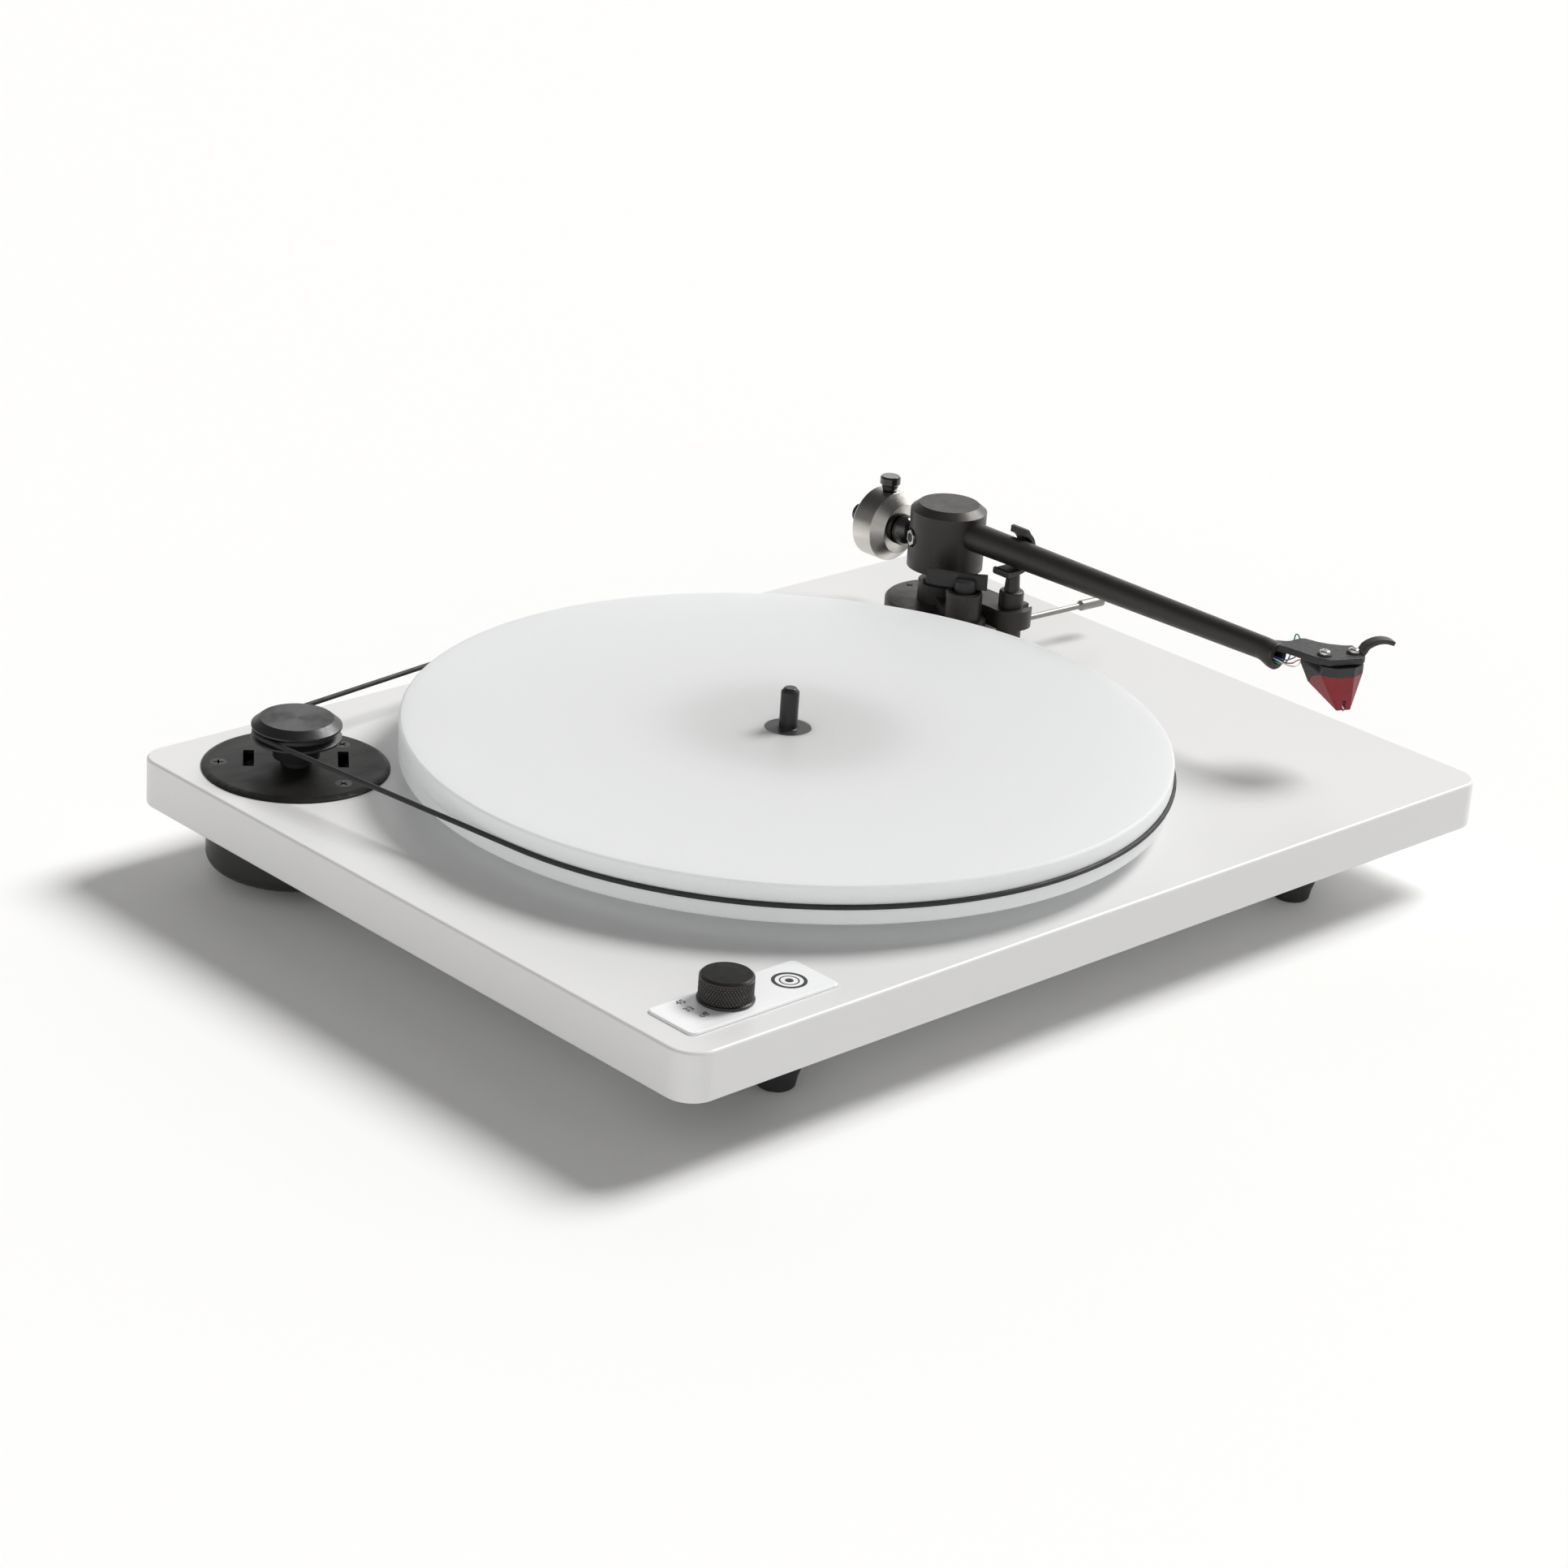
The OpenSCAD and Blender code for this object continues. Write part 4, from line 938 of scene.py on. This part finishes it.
def shell_plate_outline():
    """Plan of the headshell plate in arm coordinates, counter-clockwise seen from above."""
    corners = [(174, -2.6), (183, 0.4), (197, 1.3), (201.9, 3.4), (208.2, 16.6), (207, 19.3),
               (196.3, 24.6), (194.3, 21.6), (189.8, 17.9), (185.5, 15.9), (180.5, 14.9),
               (179, 13.2), (178.5, 6.6), (174, 2.6)]
    radii = [0.3, 9, 5, 2.2, 1.4, 1.4, 0.8, 6, 6, 6, 1.5, 1.5, 4, 0.3]
    return fillet(corners, radii, 5, closed=True)


def ring_at(a, z, r, sides=48):
    """A ring of points round the tube's line, at a along it."""
    turns = [2 * math.pi * k / sides for k in range(sides)]
    return [(a, r * math.sin(t), z + r * math.cos(t)) for t in turns]


def headshell():
    """Plate and hollow ring at the tube's end of the one-piece headshell."""
    underside, upper_face = 1.0, 3.7
    plate = slab(shell_plate_outline(), underside, upper_face, 0.45)
    stations = [(171, 0, 4.66), (172.5, -0.1, 4.75), (174.5, -0.5, 5.0), (176.4, -1.0, 5.3),
                (178, -1.2, 5.4), (179.0, -1.2, 5.4), (179.35, -1.2, 5.15), (179.35, -1.2, 3.1),
                (179.1, -1.2, 2.9), (172, -1.0, 2.9)]
    flare = loft([ring_at(*s) for s in [*stations, stations[0]]], cap=False)
    make("headshell_plate", *plate, "blasted", "arm", ["headshell"], ARM_FRAME, sharp=40)
    make("headshell_ring", *flare, "arm", "arm", ["headshell"], ARM_FRAME, sharp=40)


def finger_lift():
    """Curved lifting finger, rising from the plate's far edge and drooping at its tip."""
    bow, mid, steps = 10.9, (17.6, -2.7), 12
    start, sweep = 126, 65
    line = [(7.5, 2.7), (9.2, 3.1), (10.2, 4.5)]
    for k in range(steps + 1):
        t = math.radians(start - sweep * k / steps)
        line.append((mid[0] + bow * math.cos(t), mid[1] + bow * math.sin(t)))
    rings = []
    last = len(line) - 1
    for i, (u, z) in enumerate(line):
        step = (Vector(line[min(i + 1, last)]) - Vector(line[max(i - 1, 0)])).normalized()
        normal = Vector((-step.y, step.x))
        along = i / last
        half = 2.5 - 0.3 * along
        thick = 1.05 - 0.05 * along
        if i == last:
            half, thick = half - 0.12, thick - 0.12
        corners = [(-half, -thick), (half, -thick), (half, thick), (-half, thick)]
        section = fillet(corners, 0.5, 3, closed=True)
        rings.append([(f, u + normal.x * t, z + normal.y * t) for f, t in section])
    verts, faces = loft(rings)
    make("finger_lift", verts, faces, "arm", "arm", place=SHELL_FRAME, sharp=40)


control_plate()
ring_mark()
printed("mark_fast", "45", KNOB.x - 14.0 * MM, KNOB.y + 7.1 * MM)
printed("mark_slow", "33", KNOB.x - 15.2 * MM, KNOB.y + 1.5 * MM)
printed("mark_off", "off", KNOB.x - 14.0 * MM, KNOB.y - 4.6 * MM)
speed_knob()
pulley()
counterweight()
thumbscrew()
rest_clip()
tilt_bearings()
cartridge_screws()
cartridge_leads()
headshell()
finger_lift()


# ---------------------------------------------------------------- camera, light and floor

# The photograph's camera as fitted to it: where it stands, its turn in degrees and its lens in mm
CAMERA_AT = (-1.03441, -1.02863, 0.64348)
CAMERA_TURN = (-44.574, 22.628, 4.047)
CAMERA_LENS = 93.92


def photo_camera():
    azimuth, elevation, roll = (math.radians(v) for v in CAMERA_TURN)
    level = math.cos(elevation)
    back = Vector((math.sin(azimuth) * level, -math.cos(azimuth) * level, math.sin(elevation)))
    side = (-back).cross(UP).normalized()
    up = side.cross(-back)
    right = side * math.cos(roll) + up * math.sin(roll)
    upward = -side * math.sin(roll) + up * math.cos(roll)
    data = bpy.data.cameras.new("photo_camera")
    data.lens = CAMERA_LENS
    data.sensor_width = 36
    data.clip_start = 0.01
    camera = bpy.data.objects.new("photo_camera", data)
    camera.matrix_world = axes(right, upward, back, Vector(CAMERA_AT))
    bpy.context.collection.objects.link(camera)
    bpy.context.scene.camera = camera


def key_light(toward, spread, strength):
    """A far softbox, as an even light from that direction, spread degrees across."""
    data = bpy.data.lights.new("key", "SUN")
    data.energy = strength
    data.angle = math.radians(spread)
    data.color = (1, 0.995, 0.98)
    light = bpy.data.objects.new("key", data)
    light.location = toward
    light.rotation_euler = Vector(toward).to_track_quat("Z", "Y").to_euler()
    bpy.context.collection.objects.link(light)


# Brightness of the surroundings to the sides, in front and behind, and their share overhead
SKY_SIDE = 1.2
SKY_FRONT = 0.4
SKY_TOP = 0.3


def sky():
    """A dim studio ceiling over walls bright on two opposite sides and darker on the others."""
    world = bpy.data.worlds.new("studio")
    world.use_nodes = True
    tree = world.node_tree
    background = tree.nodes["Background"]
    place = tree.nodes.new("ShaderNodeTexCoord").outputs["Generated"]
    split = tree.nodes.new("ShaderNodeSeparateXYZ")
    tree.links.new(place, split.inputs[0])

    def ramp(value, start, end, low, high):
        n = tree.nodes.new("ShaderNodeMapRange")
        n.interpolation_type = "SMOOTHSTEP"
        for key, v in (("From Min", start), ("From Max", end), ("To Min", low), ("To Max", high)):
            n.inputs[key].default_value = v
        tree.links.new(value, n.inputs["Value"])
        return n.outputs[0]

    toward = tree.nodes.new("ShaderNodeVectorMath")
    toward.operation = "DOT_PRODUCT"
    toward.inputs[1].default_value = (0.9, 0.44, 0)
    tree.links.new(place, toward.inputs[0])
    either = tree.nodes.new("ShaderNodeMath")
    either.operation = "ABSOLUTE"
    tree.links.new(toward.outputs["Value"], either.inputs[0])
    side = ramp(either.outputs[0], 0.35, 0.85, SKY_FRONT, SKY_SIDE)
    height = ramp(split.outputs["Z"], 0.3, 0.75, 1.0, SKY_TOP)
    product = tree.nodes.new("ShaderNodeMath")
    product.operation = "MULTIPLY"
    tree.links.new(side, product.inputs[0])
    tree.links.new(height, product.inputs[1])
    tree.links.new(product.outputs[0], background.inputs["Strength"])
    background.inputs["Color"].default_value = (1, 0.995, 0.985, 1)
    bpy.context.scene.world = world


def studio():
    """Light, surroundings and the pale floor under the part."""
    sky()
    key_light((1, -0.05, 1), spread=24, strength=3.2)
    floor = bpy.data.meshes.new("floor")
    reach = 6
    floor.from_pydata([(-reach, -reach, 0), (reach, -reach, 0), (reach, reach, 0), (-reach, reach, 0)],
                      [], [(0, 1, 2, 3)])
    s = Shader("pale_floor", (0.93, 0.93, 0.925), 0.8, Specular_IOR_Level=0.1)
    s.vary_rough(s.noise(3, 2), 0.75, 0.85)
    floor.materials.append(s.mat)
    plane = bpy.data.objects.new("floor", floor)
    bpy.context.collection.objects.link(plane)
    bpy.context.scene.view_settings.view_transform = "Standard"
    bpy.context.scene.view_settings.exposure = 0.0


photo_camera()
studio()
